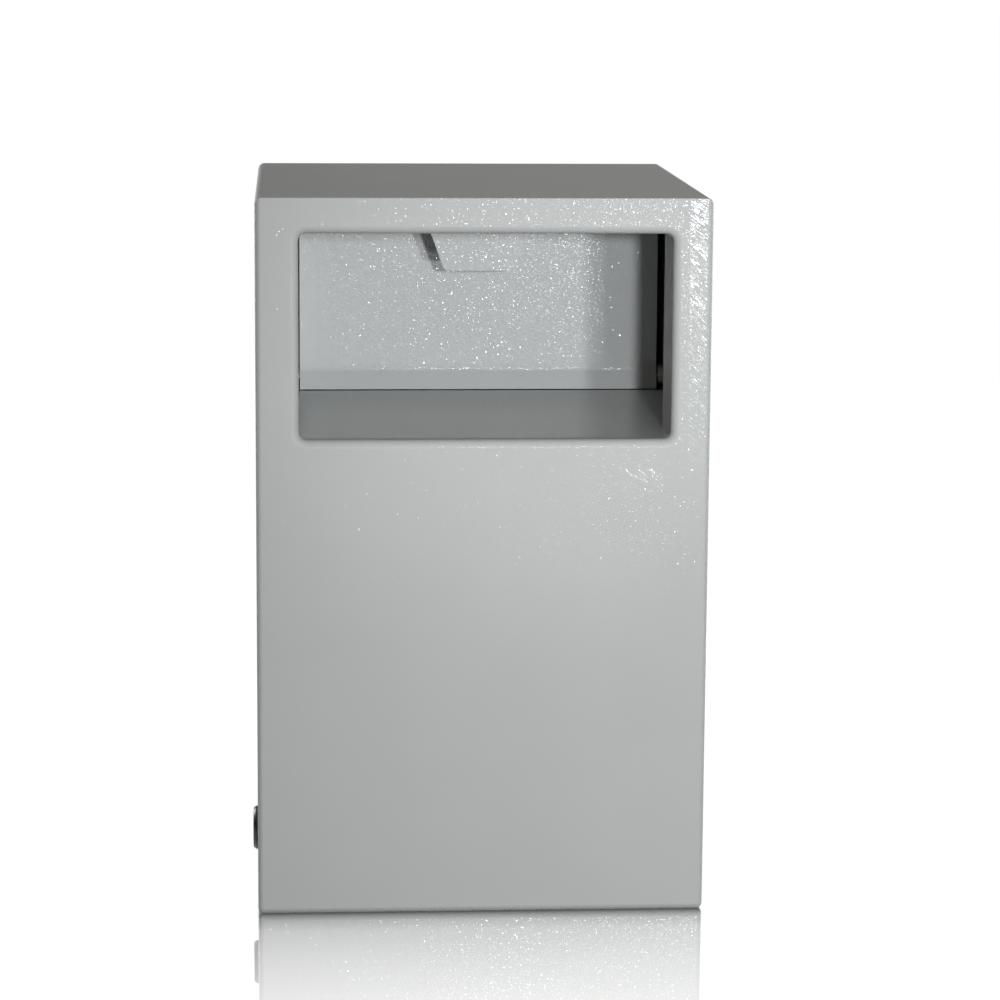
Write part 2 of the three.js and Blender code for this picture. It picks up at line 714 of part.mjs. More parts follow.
// The wire comes up past the fixed post, winds round the axle and leaves upwards at the crank.
function springPath() {
  const points = [new THREE.Vector3(springStart, axleY + springRadius, axleZ - SPRING_LEG)];
  points.push(new THREE.Vector3(springStart, axleY + springRadius, axleZ - SPRING_WIRE));
  const steps = SPRING_TURNS * SPRING_STEPS;
  for (let step = 0; step <= steps; step++) {
    const angle = 2 * Math.PI * step / SPRING_STEPS;
    points.push(new THREE.Vector3(
      springStart + (springEnd - springStart) * step / steps,
      axleY + springRadius * Math.cos(angle),
      axleZ + springRadius * Math.sin(angle),
    ));
  }
  points.push(new THREE.Vector3(springEnd, axleY + springRadius, axleZ + SPRING_WIRE));
  points.push(new THREE.Vector3(springEnd, axleY + springRadius, axleZ + SPRING_LEG));
  return points;
}

// A round wire along a path, as one closed tube.
function wire(path, radius, sides) {
  const positions = [];
  let side = new THREE.Vector3(1, 0, 0);
  path.forEach((point, i) => {
    const before = path[Math.max(i - 1, 0)];
    const after = path[Math.min(i + 1, path.length - 1)];
    const tangent = after.clone().sub(before).normalize();
    side = side.clone().addScaledVector(tangent, -side.dot(tangent)).normalize();
    const other = tangent.clone().cross(side);
    for (let k = 0; k < sides; k++) {
      const angle = 2 * Math.PI * k / sides;
      const spoke = side.clone().multiplyScalar(Math.cos(angle));
      spoke.addScaledVector(other, Math.sin(angle));
      positions.push(...point.clone().addScaledVector(spoke, radius).toArray());
    }
  });
  const faces = [];
  for (let ring = 0; ring < path.length - 1; ring++) {
    for (let k = 0; k < sides; k++) {
      const a = ring * sides + k;
      const b = ring * sides + (k + 1) % sides;
      faces.push(a, b, b + sides, a, b + sides, a + sides);
    }
  }
  const end = (path.length - 1) * sides;
  for (let k = 1; k < sides - 1; k++) {
    faces.push(0, k + 1, k, end, end + k, end + k + 1);
  }
  const geometry = new THREE.BufferGeometry();
  geometry.setAttribute('position', new THREE.Float32BufferAttribute(positions, 3));
  geometry.setIndex(faces);
  return solidFrom(geometry);
}

// The least distance between the surfaces of turns that lie beside each other.
function springLeastGap(path) {
  let least = Infinity;
  for (let i = 0; i < path.length; i++) {
    for (let j = i + SPRING_STEPS / 2; j < path.length; j++) {
      least = Math.min(least, path[i].distanceTo(path[j]) - SPRING_WIRE);
    }
  }
  return least;
}

function returnSpring() {
  const path = springPath();
  console.log('return_spring least gap to itself, mm:', springLeastGap(path).toFixed(2));
  return wire(path, SPRING_WIRE / 2, SPRING_SIDES);
}

// A crank on the axle whose peg bears on the free leg of the spring.
function springCrank() {
  const pegY = axleY + springRadius + pegOffset;
  const pegZ = axleZ + PEG_REACH;
  const hub = circle(axleY, axleZ, AXLE_RADIUS + CRANK_WALL);
  const eye = circle(pegY, pegZ, PEG_RADIUS * 2, SMALL_SIDES);
  const toPeg = new THREE.Vector2(pegY - axleY, pegZ - axleZ).normalize();
  const normal = new THREE.Vector2(-toPeg.y, toPeg.x).multiplyScalar(PEG_RADIUS * 2);
  const arm = [
    new THREE.Vector2(axleY, axleZ).sub(normal), new THREE.Vector2(pegY, pegZ).sub(normal),
    new THREE.Vector2(pegY, pegZ).add(normal), new THREE.Vector2(axleY, axleZ).add(normal),
  ];
  const plate = join(...[hub, arm, eye].map((points) => prism('x', points, crankLeft, crankRight)));
  const hole = circle(axleY, axleZ, AXLE_RADIUS + SEAM);
  const bore = prism('x', hole, crankLeft - PAST, crankRight + PAST);
  const pegEnd = springEnd - SPRING_WIRE;
  const peg = prism('x', circle(pegY, pegZ, PEG_RADIUS, SMALL_SIDES), pegEnd, crankLeft + PAST);
  return join(cut(plate, bore), peg);
}

function springPost() {
  const y = axleY + springRadius + postOffset;
  const z = axleZ - PEG_REACH;
  return prism('x', circle(y, z, POST_RADIUS, SMALL_SIDES), -innerX + SEAM, springStart + SPRING_WIRE);
}

// Stop and chute

const stopY = flapBack + BUMPER_THICKNESS + 2 * SEAM;

function flapStop() {
  const top = innerTop - SEAM;
  const points = outline([
    [stopY, top - STOP_LEG, 0], [stopY + STOP_SHEET, top - STOP_LEG, 0],
    [stopY + STOP_SHEET, top - STOP_SHEET, 0], [stopY + STOP_LEG, top - STOP_SHEET, 0],
    [stopY + STOP_LEG, top, 0], [stopY, top, STOP_SHEET],
  ]);
  return prism('x', points, flapLeft + STOP_END_INSET, flapRight - STOP_END_INSET);
}

// A rubber strip on the stop that the flap shuts against.
function stopBumper() {
  const low = innerTop - STOP_LEG + BUMPER_MARGIN;
  const inset = STOP_END_INSET + BUMPER_MARGIN;
  const high = low + BUMPER_WIDTH;
  const strip = rectangle(flapLeft + inset, flapRight - inset, low, high, BUMPER_CORNER);
  return prism('y', strip, flapBack + SEAM, stopY - SEAM);
}

// A sloping plate over the door that turns deposits away from the boltwork.
function chuteDeflector() {
  const back = frameInnerY - SEAM;
  const fold = frameInnerY - HEADER_LEG - SEAM;
  const tip = back - CHUTE_REACH;
  const foot = openingTop + FRAME_SHEET + SEAM;
  const points = outline([
    [back, foot, 0], [back, foot + CHUTE_FLANGE, 0], [back - CHUTE_SHEET, foot + CHUTE_FLANGE, 0],
    [back - CHUTE_SHEET, foot + CHUTE_SHEET, 0], [fold, foot + CHUTE_SHEET, 0],
    [tip, foot + CHUTE_SHEET - CHUTE_DROP, 0], [tip, foot - CHUTE_DROP, 0], [fold, foot, 0],
  ]);
  const x = innerX - FRAME_SHEET - 2 * SEAM;
  return prism('x', points, -x, x);
}

// Door frame

function jamb(side) {
  const outer = side * (innerX - SEAM);
  const leg = side * (innerX - SEAM - FRAME_SHEET);
  const edge = side * jambEdge;
  const points = outline([
    [edge, rearY, 0], [edge, frameInnerY, 0], [leg, frameInnerY, 0],
    [leg, rearY - JAMB_LEG, 0], [outer, rearY - JAMB_LEG, 0], [outer, rearY, 0],
  ]);
  return prism('z', points, SHEET + SEAM, openingTop - SEAM);
}

function doorSill() {
  const points = outline([
    [rearY, SHEET + SEAM, 0], [rearY, openingBottom, 0], [rearY - JAMB_LEG, openingBottom, 0],
    [rearY - JAMB_LEG, openingBottom - FRAME_SHEET, 0],
    [frameInnerY, openingBottom - FRAME_SHEET, 0], [frameInnerY, SHEET + SEAM, 0],
  ]);
  return prism('x', points, -jambEdge + SEAM, jambEdge - SEAM);
}

function rearHeader() {
  const points = outline([
    [rearY, openingTop, 0], [rearY, innerTop - SEAM, 0], [frameInnerY, innerTop - SEAM, 0],
    [frameInnerY, openingTop + FRAME_SHEET, 0],
    [frameInnerY - HEADER_LEG, openingTop + FRAME_SHEET, 0], [frameInnerY - HEADER_LEG, openingTop, 0],
  ]);
  const room = prism('y', archOutline(SHEET + SEAM, 0), 0, rearY);
  return prism('x', points, -innerX, innerX).intersect(room);
}

// Door

// A keyhole: a round hole with a slot below it, as outlines in X and Z.
function keyholeCutter(from, to) {
  const half = KEY_SLOT_WIDTH / 2;
  const round = circle(lockX, keyZ, KEY_RADIUS, SMALL_SIDES);
  const slot = rectangle(lockX - half, lockX + half, keyZ - KEY_SLOT_LENGTH, keyZ);
  return join(prism('y', round, from, to), prism('y', slot, from, to));
}

function doorPlate() {
  const edge = rectangle(-doorX, doorX, doorBottom, doorTop, DOOR_CORNER);
  const spindleHole = circle(spindleX, doorMidZ, SPINDLE_RADIUS + AXLE_RUNNING_GAP);
  const plate = prism('y', edge, doorInnerY, rearY, [spindleHole]);
  return cut(plate, keyholeCutter(doorInnerY - PAST, rearY + PAST));
}

function hingeHeights() {
  return [-1, 1].map((side) => doorMidZ + side * HINGE_SPACING / 2);
}

// Half of a lift-off hinge: a barrel with a strap that is welded to the frame or the door.
function hingeHalf(side, from, to, holeFrom, holeTo) {
  const barrel = circle(hingeX, hingeY, HINGE_RADIUS);
  const low = hingeY - HINGE_RADIUS;
  const end = hingeX + side * HINGE_STRAP;
  const strap = rectangle(Math.min(end, hingeX), Math.max(end, hingeX), low, low + HINGE_STRAP_SHEET);
  const bore = circle(hingeX, hingeY, HINGE_PIN_RADIUS + SEAM, SMALL_SIDES);
  return cut(
    join(prism('z', barrel, from, to), prism('z', strap, from, to)),
    prism('z', bore, holeFrom, holeTo),
  );
}

function frameHingeHalf(z) {
  return hingeHalf(-1, z - HINGE_HALF_LENGTH, z, z - HINGE_HALF_LENGTH + HINGE_CAP, z + PAST);
}

function doorHingeHalf(z) {
  return hingeHalf(1, z + SEAM, z + HINGE_HALF_LENGTH, z - PAST, z + HINGE_HALF_LENGTH - HINGE_CAP);
}

function hingePin(z) {
  const reach = HINGE_HALF_LENGTH - HINGE_CAP - SEAM;
  return prism('z', circle(hingeX, hingeY, HINGE_PIN_RADIUS, SMALL_SIDES), z - reach, z + reach);
}

// A fixed bar behind the hinge side of the door that hooks behind the jamb when it is shut.
function dogBar() {
  const left = -jambEdge - DOG_BAR_LAP;
  const wall = doorInnerY - SEAM;
  const low = doorBottom + DOG_BAR_INSET;
  const high = doorTop - DOG_BAR_INSET;
  return block(left, left + DOG_BAR_WIDTH, wall - DOG_BAR_DEPTH, wall, low, high);
}

// Boltwork

function boltHeights() {
  return [-1, 0, 1].map((row) => doorMidZ + row * BOLT_PITCH);
}

function lockingBolt(z, tail) {
  return turned('x', boltY, z, [
    [0, barRight - tail], [BOLT_TAIL_RADIUS, barRight - tail], [BOLT_TAIL_RADIUS, barRight + SEAM],
    [BOLT_RADIUS, barRight + SEAM], [BOLT_RADIUS, boltTipX - BOLT_POINT],
    [BOLT_RADIUS - BOLT_POINT, boltTipX], [0, boltTipX],
  ]);
}

// The upright bar that carries the bolts, with a tongue for the cam pin and the lock's bolt.
function boltBar() {
  const low = doorMidZ - barHalf;
  const high = doorMidZ + barHalf;
  const barEnd = doorInnerY - CAM_DOOR_GAP + SEAM * 2;
  const section = rectangle(barEnd - BAR_WIDTH, barEnd, low, high, BAR_CORNER);
  const bar = prism('x', section, barLeft, barRight);
  const spigots = boltHeights().map((z) => {
    return prism('x', circle(boltY, z, BOLT_TAIL_RADIUS + SEAM), barLeft - SEAM, barRight + PAST);
  });
  const slotHalf = CAM_PIN_RADIUS + SLOT_PLAY;
  const slot = rectangle(camPinX - slotHalf, camPinX + slotHalf,
    camPinZ - slotHalf, doorMidZ + camRadius + slotHalf);
  const blade = rectangle(tongueLeft, barLeft + PAST, doorMidZ - TONGUE_BELOW, tongueTop);
  const tongue = prism('y', blade, tongueY, tongueY + TONGUE_SHEET, [slot]);
  const half = LOCK_BOLT_WIDTH / 2 + LOCK_BOLT_GAP;
  const notches = [lockX, lockX - BOLT_THROW].map((x) => {
    return block(x - half, x + half, tongueY - PAST, tongueY + TONGUE_SHEET + PAST,
      tongueTop - LOCK_BOLT_THROW, tongueTop + PAST);
  });
  return cut(join(cut(bar, ...spigots), cut(tongue, ...notches)), spigots[1]);
}

// The angle on the door that guides the bolts close to the edge.
function boltGuide() {
  const wall = doorInnerY - SEAM;
  const left = guideRight - GUIDE_SHEET;
  const points = outline([
    [guideRight, wall, 0], [guideRight, wall - GUIDE_HEIGHT, 0], [left, wall - GUIDE_HEIGHT, 0],
    [left, wall - GUIDE_SHEET, 0], [guideRight - GUIDE_FOOT, wall - GUIDE_SHEET, 0],
    [guideRight - GUIDE_FOOT, wall, 0],
  ]);
  const angle = prism('z', points, doorMidZ - barHalf, doorMidZ + barHalf);
  const holes = boltHeights().map((z) => {
    return prism('x', circle(boltY, z, BOLT_RADIUS + GUIDE_GAP), left - PAST, guideRight + PAST);
  });
  return cut(angle, ...holes);
}

// A small angle that guides the thin tail of an outer bolt.
function tailGuide(z) {
  const wall = doorInnerY - SEAM;
  const right = barRight - BOLT_TAIL_LENGTH + BOLT_THROW / 2;
  const left = right - GUIDE_SHEET;
  const points = outline([
    [right, wall, 0], [right, wall - GUIDE_HEIGHT + BOLT_TAIL_RADIUS, 0],
    [left, wall - GUIDE_HEIGHT + BOLT_TAIL_RADIUS, 0], [left, wall - GUIDE_SHEET, 0],
    [right - TAIL_GUIDE_FOOT, wall - GUIDE_SHEET, 0], [right - TAIL_GUIDE_FOOT, wall, 0],
  ]);
  const half = TAIL_GUIDE_HEIGHT / 2;
  const hole = circle(boltY, z, BOLT_TAIL_RADIUS + GUIDE_GAP);
  return cut(prism('z', points, z - half, z + half), prism('x', hole, left - PAST, right + PAST));
}

// Lever handle

function handleRose() {
  const start = rearY + SEAM;
  const end = start + ROSE_THICKNESS;
  const rose = turned('y', spindleX, doorMidZ, [
    [0, start], [ROSE_RADIUS, start], [ROSE_RADIUS, end - ROSE_BEVEL],
    [ROSE_RADIUS - ROSE_BEVEL, end], [0, end],
  ]);
  const bore = circle(spindleX, doorMidZ, SPINDLE_RADIUS + AXLE_RUNNING_GAP);
  return cut(rose, prism('y', bore, start - PAST, end + PAST));
}

function handleSpindle() {
  const end = rearY + ROSE_THICKNESS + BOSS_LENGTH - BOSS_END_WALL;
  return prism('y', circle(spindleX, doorMidZ, SPINDLE_RADIUS), camNear, end);
}

function handleLever() {
  const start = rearY + ROSE_THICKNESS + 2 * SEAM;
  const end = start + BOSS_LENGTH;
  const boss = turned('y', spindleX, doorMidZ, [
    [0, start], [BOSS_RADIUS, start], [BOSS_RADIUS, end - BOSS_BEVEL],
    [BOSS_RADIUS - BOSS_BEVEL, end], [0, end],
  ]);
  const root = LEVER_ROOT_WIDTH / 2;
  const tip = LEVER_END_WIDTH / 2;
  const tipZ = doorMidZ - LEVER_LENGTH;
  const face = outline([
    [spindleX - root, doorMidZ, 0], [spindleX - tip, tipZ, LEVER_TIP_RADIUS],
    [spindleX + tip, tipZ, LEVER_TIP_RADIUS], [spindleX + root, doorMidZ, 0],
  ]);
  const arm = prism('y', face, end - LEVER_THICKNESS, end - LEVER_SETBACK);
  const bore = circle(spindleX, doorMidZ, SPINDLE_RADIUS + SEAM);
  return cut(join(boss, arm), prism('y', bore, start - PAST, end - BOSS_END_WALL));
}

function boltCam() {
  const hub = circle(spindleX, doorMidZ, SPINDLE_RADIUS + CAM_WALL);
  const eye = circle(camPinX, camPinZ, CAM_PIN_RADIUS + CAM_WALL);
  const plate = join(prism('y', hub, camNear, camFar), prism('y', eye, camNear, camFar));
  const bores = [
    circle(spindleX, doorMidZ, SPINDLE_RADIUS + SEAM),
    circle(camPinX, camPinZ, CAM_PIN_RADIUS + SEAM, SMALL_SIDES),
  ];
  return cut(plate, ...bores.map((bore) => prism('y', bore, camNear - PAST, camFar + PAST)));
}

function camPin() {
  const pin = circle(camPinX, camPinZ, CAM_PIN_RADIUS, SMALL_SIDES);
  return prism('y', pin, tongueY - CAM_PIN_PAST_TONGUE, camFar);
}

// Lock

function lockCase() {
  const left = lockX - LOCK_WIDTH / 2;
  const right = lockX + LOCK_WIDTH / 2;
  const face = rectangle(left, right, lockBottom, lockBottom + LOCK_HEIGHT, LOCK_CORNER);
  const half = LOCK_BOLT_WIDTH / 2 + LOCK_BOLT_GAP;
  const near = tongueMidY - LOCK_BOLT_DEPTH / 2 - LOCK_BOLT_GAP;
  const far = tongueMidY + LOCK_BOLT_DEPTH / 2 + LOCK_BOLT_GAP;
  const top = lockBoltFoot + LOCK_BOLT_LENGTH + LOCK_BOLT_GAP;
  const channel = block(lockX - half, lockX + half, near, far, lockBottom - PAST, top);
  const keyway = keyholeCutter(far + LOCK_BOLT_GAP, lockFar + PAST);
  return cut(prism('y', face, lockNear, lockFar), channel, keyway);
}

function lockBolt() {
  const half = LOCK_BOLT_WIDTH / 2;
  const near = tongueMidY - LOCK_BOLT_DEPTH / 2;
  const far = tongueMidY + LOCK_BOLT_DEPTH / 2;
  const section = rectangle(lockX - half, lockX + half, near, far, LOCK_BOLT_CORNER);
  return prism('z', section, lockBoltFoot, lockBoltFoot + LOCK_BOLT_LENGTH);
}

function drillPlate() {
  const half = LOCK_WIDTH / 2 + DRILL_PLATE_MARGIN;
  const wall = doorInnerY - SEAM;
  const low = lockBottom - DRILL_PLATE_MARGIN;
  const high = lockBottom + LOCK_HEIGHT + DRILL_PLATE_MARGIN;
  const plate = block(lockX - half, lockX + half, wall - DRILL_PLATE_SHEET, wall, low, high);
  return cut(plate, keyholeCutter(lockNear, rearY));
}

function keyEscutcheon() {
  const start = rearY + SEAM;
  const end = start + ESCUTCHEON_THICKNESS;
  const face = ESCUTCHEON_RADIUS - ESCUTCHEON_THICKNESS / 2;
  const disc = turned('y', lockX, keyZ, [
    [0, start], [ESCUTCHEON_RADIUS, start], [face, end], [0, end],
  ]);
  const rivetHole = circle(lockX, keyPivotZ, KEY_RIVET_RADIUS + SEAM, SMALL_SIDES);
  const from = start - PAST;
  const to = end + PAST;
  return cut(disc, keyholeCutter(from, to), prism('y', rivetHole, from, to));
}

const keyCoverY = rearY + ESCUTCHEON_THICKNESS + 2 * SEAM;

function keyholeCover() {
  const end = keyCoverY + KEY_COVER_SHEET;
  const middle = keyZ - KEY_RADIUS / 2;
  const bottom = circle(lockX, middle, KEY_COVER_RADIUS);
  const eye = circle(lockX, keyPivotZ, KEY_COVER_EYE, SMALL_SIDES);
  const neck = outline([
    [lockX - KEY_COVER_EYE, keyPivotZ, 0], [lockX - KEY_COVER_RADIUS, middle, 0],
    [lockX + KEY_COVER_RADIUS, middle, 0], [lockX + KEY_COVER_EYE, keyPivotZ, 0],
  ]);
  const plate = join(...[bottom, eye, neck].map((points) => prism('y', points, keyCoverY, end)));
  const hole = circle(lockX, keyPivotZ, KEY_RIVET_RADIUS + AXLE_RUNNING_GAP, SMALL_SIDES);
  return cut(plate, prism('y', hole, keyCoverY - PAST, end + PAST));
}

function keyCoverRivet() {
  const foot = rearY + SEAM;
  const head = keyCoverY + KEY_COVER_SHEET + SEAM;
  const shank = [[0, foot], [KEY_RIVET_RADIUS, foot], [KEY_RIVET_RADIUS, head]];
  const crown = dome(KEY_RIVET_HEAD_RADIUS, head, KEY_RIVET_HEAD_HEIGHT);
  return turned('y', lockX, keyPivotZ, [...shank, ...crown], SMALL_SIDES);
}

// Inner cover

// Four pillars carry the cover: two on the door and two on the foot of the bolt guide.
function pillarPlaces() {
  const left = coverLeft + PILLAR_INSET;
  const right = guideRight - GUIDE_FOOT + 2 * PILLAR_RADIUS;
  const tall = coverHalf - PILLAR_END_INSET;
  const wall = doorInnerY - SEAM;
  return [-1, 1].flatMap((side) => [
    { x: left, z: doorMidZ + side * tall, end: wall },
    { x: right, z: doorMidZ + side * PILLAR_RIGHT_Z, end: wall - GUIDE_SHEET - SEAM },
  ]);
}

function coverPillar({ x, z, end }) {
  const start = coverY + COVER_SHEET + SEAM;
  const bore = circle(x, z, SCREW_RADIUS + SEAM, SMALL_SIDES);
  const pillar = prism('y', circle(x, z, PILLAR_RADIUS, SMALL_SIDES), start, end);
  return cut(pillar, prism('y', bore, start - PAST, start + SCREW_LENGTH));
}

function coverScrew({ x, z }) {
  const seat = coverY - SEAM;
  const top = seat - SCREW_HEAD_HEIGHT;
  const end = coverY + SCREW_LENGTH;
  return turned('y', x, z, [
    [0, top], [SCREW_HEAD_RADIUS - SCREW_HEAD_BEVEL, top], [SCREW_HEAD_RADIUS, seat],
    [SCREW_RADIUS, seat], [SCREW_RADIUS, end], [0, end],
  ], SMALL_SIDES);
}

// A pressed pan over the boltwork, open towards the bolt guide.
function boltworkCover() {
  const wall = doorInnerY - SEAM;
  const low = doorMidZ - coverHalf;
  const high = doorMidZ + coverHalf;
  const right = coverRight + PAST;
  const floor = coverY + COVER_SHEET;
  const outer = block(coverLeft, coverRight, coverY, wall, low, high);
  const inner = block(coverLeft + COVER_SHEET, right, floor, wall + PAST,
    low + COVER_SHEET, high - COVER_SHEET);
  const holes = pillarPlaces().map(({ x, z }) => {
    const hole = circle(x, z, SCREW_RADIUS + SEAM, SMALL_SIDES);
    return prism('y', hole, coverY - PAST, floor + PAST);
  });
  const footRoom = block(guideRight - GUIDE_FOOT - SEAM, right, wall - GUIDE_SHEET - SEAM,
    wall + PAST, low - PAST, high + PAST);
  return cut(outer, inner, footRoom, ...holes);
}

// Cable hole plug

function cablePlug() {
  const face = -WIDTH / 2 - SEAM;
  const head = face - PLUG_HEAD_HEIGHT;
  const end = face + PLUG_BARREL_LENGTH;
  return turned('x', plugY, PLUG_Z, [
    [0, head], [PLUG_HEAD_RADIUS - PLUG_HEAD_BEVEL, head],
    [PLUG_HEAD_RADIUS, head + PLUG_HEAD_BEVEL], [PLUG_HEAD_RADIUS, face],
    [PLUG_BARREL_RADIUS, face], [PLUG_BARREL_RADIUS, end], [0, end],
  ]);
}

// Finishes and assembly

const finishes = {
  paint: new THREE.MeshStandardMaterial({ color: '#b5b8b7', roughness: 0.4, metalness: 0 }),
  zinc: new THREE.MeshStandardMaterial({ color: '#a9adb0', roughness: 0.35, metalness: 1 }),
  chrome: new THREE.MeshStandardMaterial({ color: '#d8dadc', roughness: 0.12, metalness: 1 }),
  hardSteel: new THREE.MeshStandardMaterial({ color: '#5c5f62', roughness: 0.45, metalness: 1 }),
  brass: new THREE.MeshStandardMaterial({ color: '#b5964f', roughness: 0.35, metalness: 1 }),
  blackPlastic: new THREE.MeshStandardMaterial({ color: '#151515', roughness: 0.4, metalness: 0 }),
  rubber: new THREE.MeshStandardMaterial({ color: '#1d1d1d', roughness: 0.85, metalness: 0 }),
};

const safe = new THREE.Group();

function place(name, solid, finish) {
  const mesh = new THREE.Mesh(geometryFrom(solid), finish);
  mesh.name = name;
  safe.add(mesh);
}

place('body_wrap', bodyWrap(), finishes.paint);
place('front_panel', frontPanel(), finishes.paint);
place('base_plate', basePlate(), finishes.paint);
place('recess_collar', recessCollar(), finishes.paint);
place('deposit_shelf', depositShelf(), finishes.paint);
place('left_cheek', leftCheek(), finishes.paint);
place('pivot_bush_left', pivotBush(-1), finishes.brass);
place('pivot_bush_right', pivotBush(1), finishes.brass);
place('spring_post', springPost(), finishes.zinc);
place('return_spring', returnSpring(), finishes.hardSteel);
place('flap_stop', flapStop(), finishes.paint);
place('stop_bumper', stopBumper(), finishes.rubber);
place('chute_deflector', chuteDeflector(), finishes.paint);
place('jamb_hinge_side', jamb(-1), finishes.paint);
place('jamb_bolt_side', jamb(1), finishes.paint);
place('door_sill', doorSill(), finishes.paint);
place('rear_header', rearHeader(), finishes.paint);
place('cable_plug', cablePlug(), finishes.blackPlastic);

place('flap_plate', flapPlate(), finishes.paint);
place('pull_handle', pullHandle(), finishes.paint);
place('handle_rivet_left', handleRivet(rivetPlaces()[0]), finishes.paint);
place('handle_rivet_right', handleRivet(rivetPlaces()[1]), finishes.paint);
place('flap_axle', flapAxle(), finishes.zinc);
place('scoop_baffle', scoopBaffle(), finishes.zinc);
place('spring_crank', springCrank(), finishes.zinc);

['lower', 'upper'].forEach((name, i) => {
  const z = hingeHeights()[i];
  place(`frame_hinge_${name}`, frameHingeHalf(z), finishes.paint);
  place(`door_hinge_${name}`, doorHingeHalf(z), finishes.paint);
  place(`hinge_pin_${name}`, hingePin(z), finishes.zinc);
});

place('door_plate', doorPlate(), finishes.paint);
place('dog_bar', dogBar(), finishes.zinc);
place('bolt_guide', boltGuide(), finishes.zinc);
place('tail_guide_lower', tailGuide(boltHeights()[0]), finishes.zinc);
place('tail_guide_upper', tailGuide(boltHeights()[2]), finishes.zinc);
place('lock_case', lockCase(), finishes.zinc);
place('drill_plate', drillPlate(), finishes.hardSteel);
place('key_escutcheon', keyEscutcheon(), finishes.chrome);
place('key_cover_rivet', keyCoverRivet(), finishes.chrome);
place('handle_rose', handleRose(), finishes.chrome);
place('boltwork_cover', boltworkCover(), finishes.zinc);
pillarPlaces().forEach((spot, i) => {
  place(`cover_pillar_${i + 1}`, coverPillar(spot), finishes.zinc);
  place(`cover_screw_${i + 1}`, coverScrew(spot), finishes.zinc);
});

place('bolt_bar', boltBar(), finishes.zinc);
place('locking_bolt_lower', lockingBolt(boltHeights()[0], BOLT_TAIL_LENGTH), finishes.chrome);
place('locking_bolt_middle', lockingBolt(boltHeights()[1], BAR_THICKNESS), finishes.chrome);
place('locking_bolt_upper', lockingBolt(boltHeights()[2], BOLT_TAIL_LENGTH), finishes.chrome);

place('handle_lever', handleLever(), finishes.chrome);
place('handle_spindle', handleSpindle(), finishes.zinc);
place('bolt_cam', boltCam(), finishes.zinc);
place('cam_pin', camPin(), finishes.hardSteel);
place('keyhole_cover', keyholeCover(), finishes.chrome);
place('lock_bolt', lockBolt(), finishes.brass);

export default safe;
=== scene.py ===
"""Finish of a counter deposit safe: the painted sheet-metal body with its open recess, the
tilting flap and its pull tab, the bolted rear door, and the studio that they stand in.

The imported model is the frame, in metres. The customer stands at -Y and the staff at +Y.
"""

import json
import math

import bmesh
import bpy
from mathutils import Matrix, Vector


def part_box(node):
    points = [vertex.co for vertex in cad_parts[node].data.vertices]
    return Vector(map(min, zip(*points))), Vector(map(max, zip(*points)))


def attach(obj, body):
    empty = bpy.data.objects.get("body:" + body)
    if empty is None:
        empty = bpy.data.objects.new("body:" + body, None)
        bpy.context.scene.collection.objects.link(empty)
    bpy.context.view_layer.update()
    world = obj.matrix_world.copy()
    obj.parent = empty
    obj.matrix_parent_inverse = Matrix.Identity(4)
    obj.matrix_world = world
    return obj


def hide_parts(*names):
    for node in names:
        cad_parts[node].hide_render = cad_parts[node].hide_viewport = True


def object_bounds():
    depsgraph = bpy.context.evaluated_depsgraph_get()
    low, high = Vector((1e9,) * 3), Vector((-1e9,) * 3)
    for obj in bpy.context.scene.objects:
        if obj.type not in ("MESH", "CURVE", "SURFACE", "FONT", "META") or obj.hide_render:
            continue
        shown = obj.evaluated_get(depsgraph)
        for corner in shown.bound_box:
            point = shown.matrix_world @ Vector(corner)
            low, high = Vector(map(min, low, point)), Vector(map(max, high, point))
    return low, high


bl_info = {
    "name": "Deposit safe finish",
    "version": (1, 0, 0),
    "blender": (4, 5, 0),
    "location": "3D View > Sidebar > Safe",
    "description": "Dresses the deposit safe in painted sheet, plated boltwork and a studio",
    "category": "Object",
}

MM = 0.001
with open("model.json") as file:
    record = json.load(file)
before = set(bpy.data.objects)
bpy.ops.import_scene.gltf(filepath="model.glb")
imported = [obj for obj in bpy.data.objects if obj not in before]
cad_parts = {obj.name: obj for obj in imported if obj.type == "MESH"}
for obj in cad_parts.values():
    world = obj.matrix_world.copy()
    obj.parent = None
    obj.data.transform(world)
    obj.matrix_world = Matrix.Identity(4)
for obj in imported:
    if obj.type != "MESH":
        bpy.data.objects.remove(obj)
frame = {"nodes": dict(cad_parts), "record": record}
cad_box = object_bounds()


def to_linear(hex_colour):
    """An sRGB hex colour as linear red, green, blue and a full alpha."""
    parts = [int(hex_colour[i:i + 2], 16) / 255 for i in (1, 3, 5)]
    low = [part / 12.92 for part in parts]
    high = [((part + 0.055) / 1.055) ** 2.4 for part in parts]
    return [a if part <= 0.04045 else b for part, a, b in zip(parts, low, high)] + [1.0]


# Settings

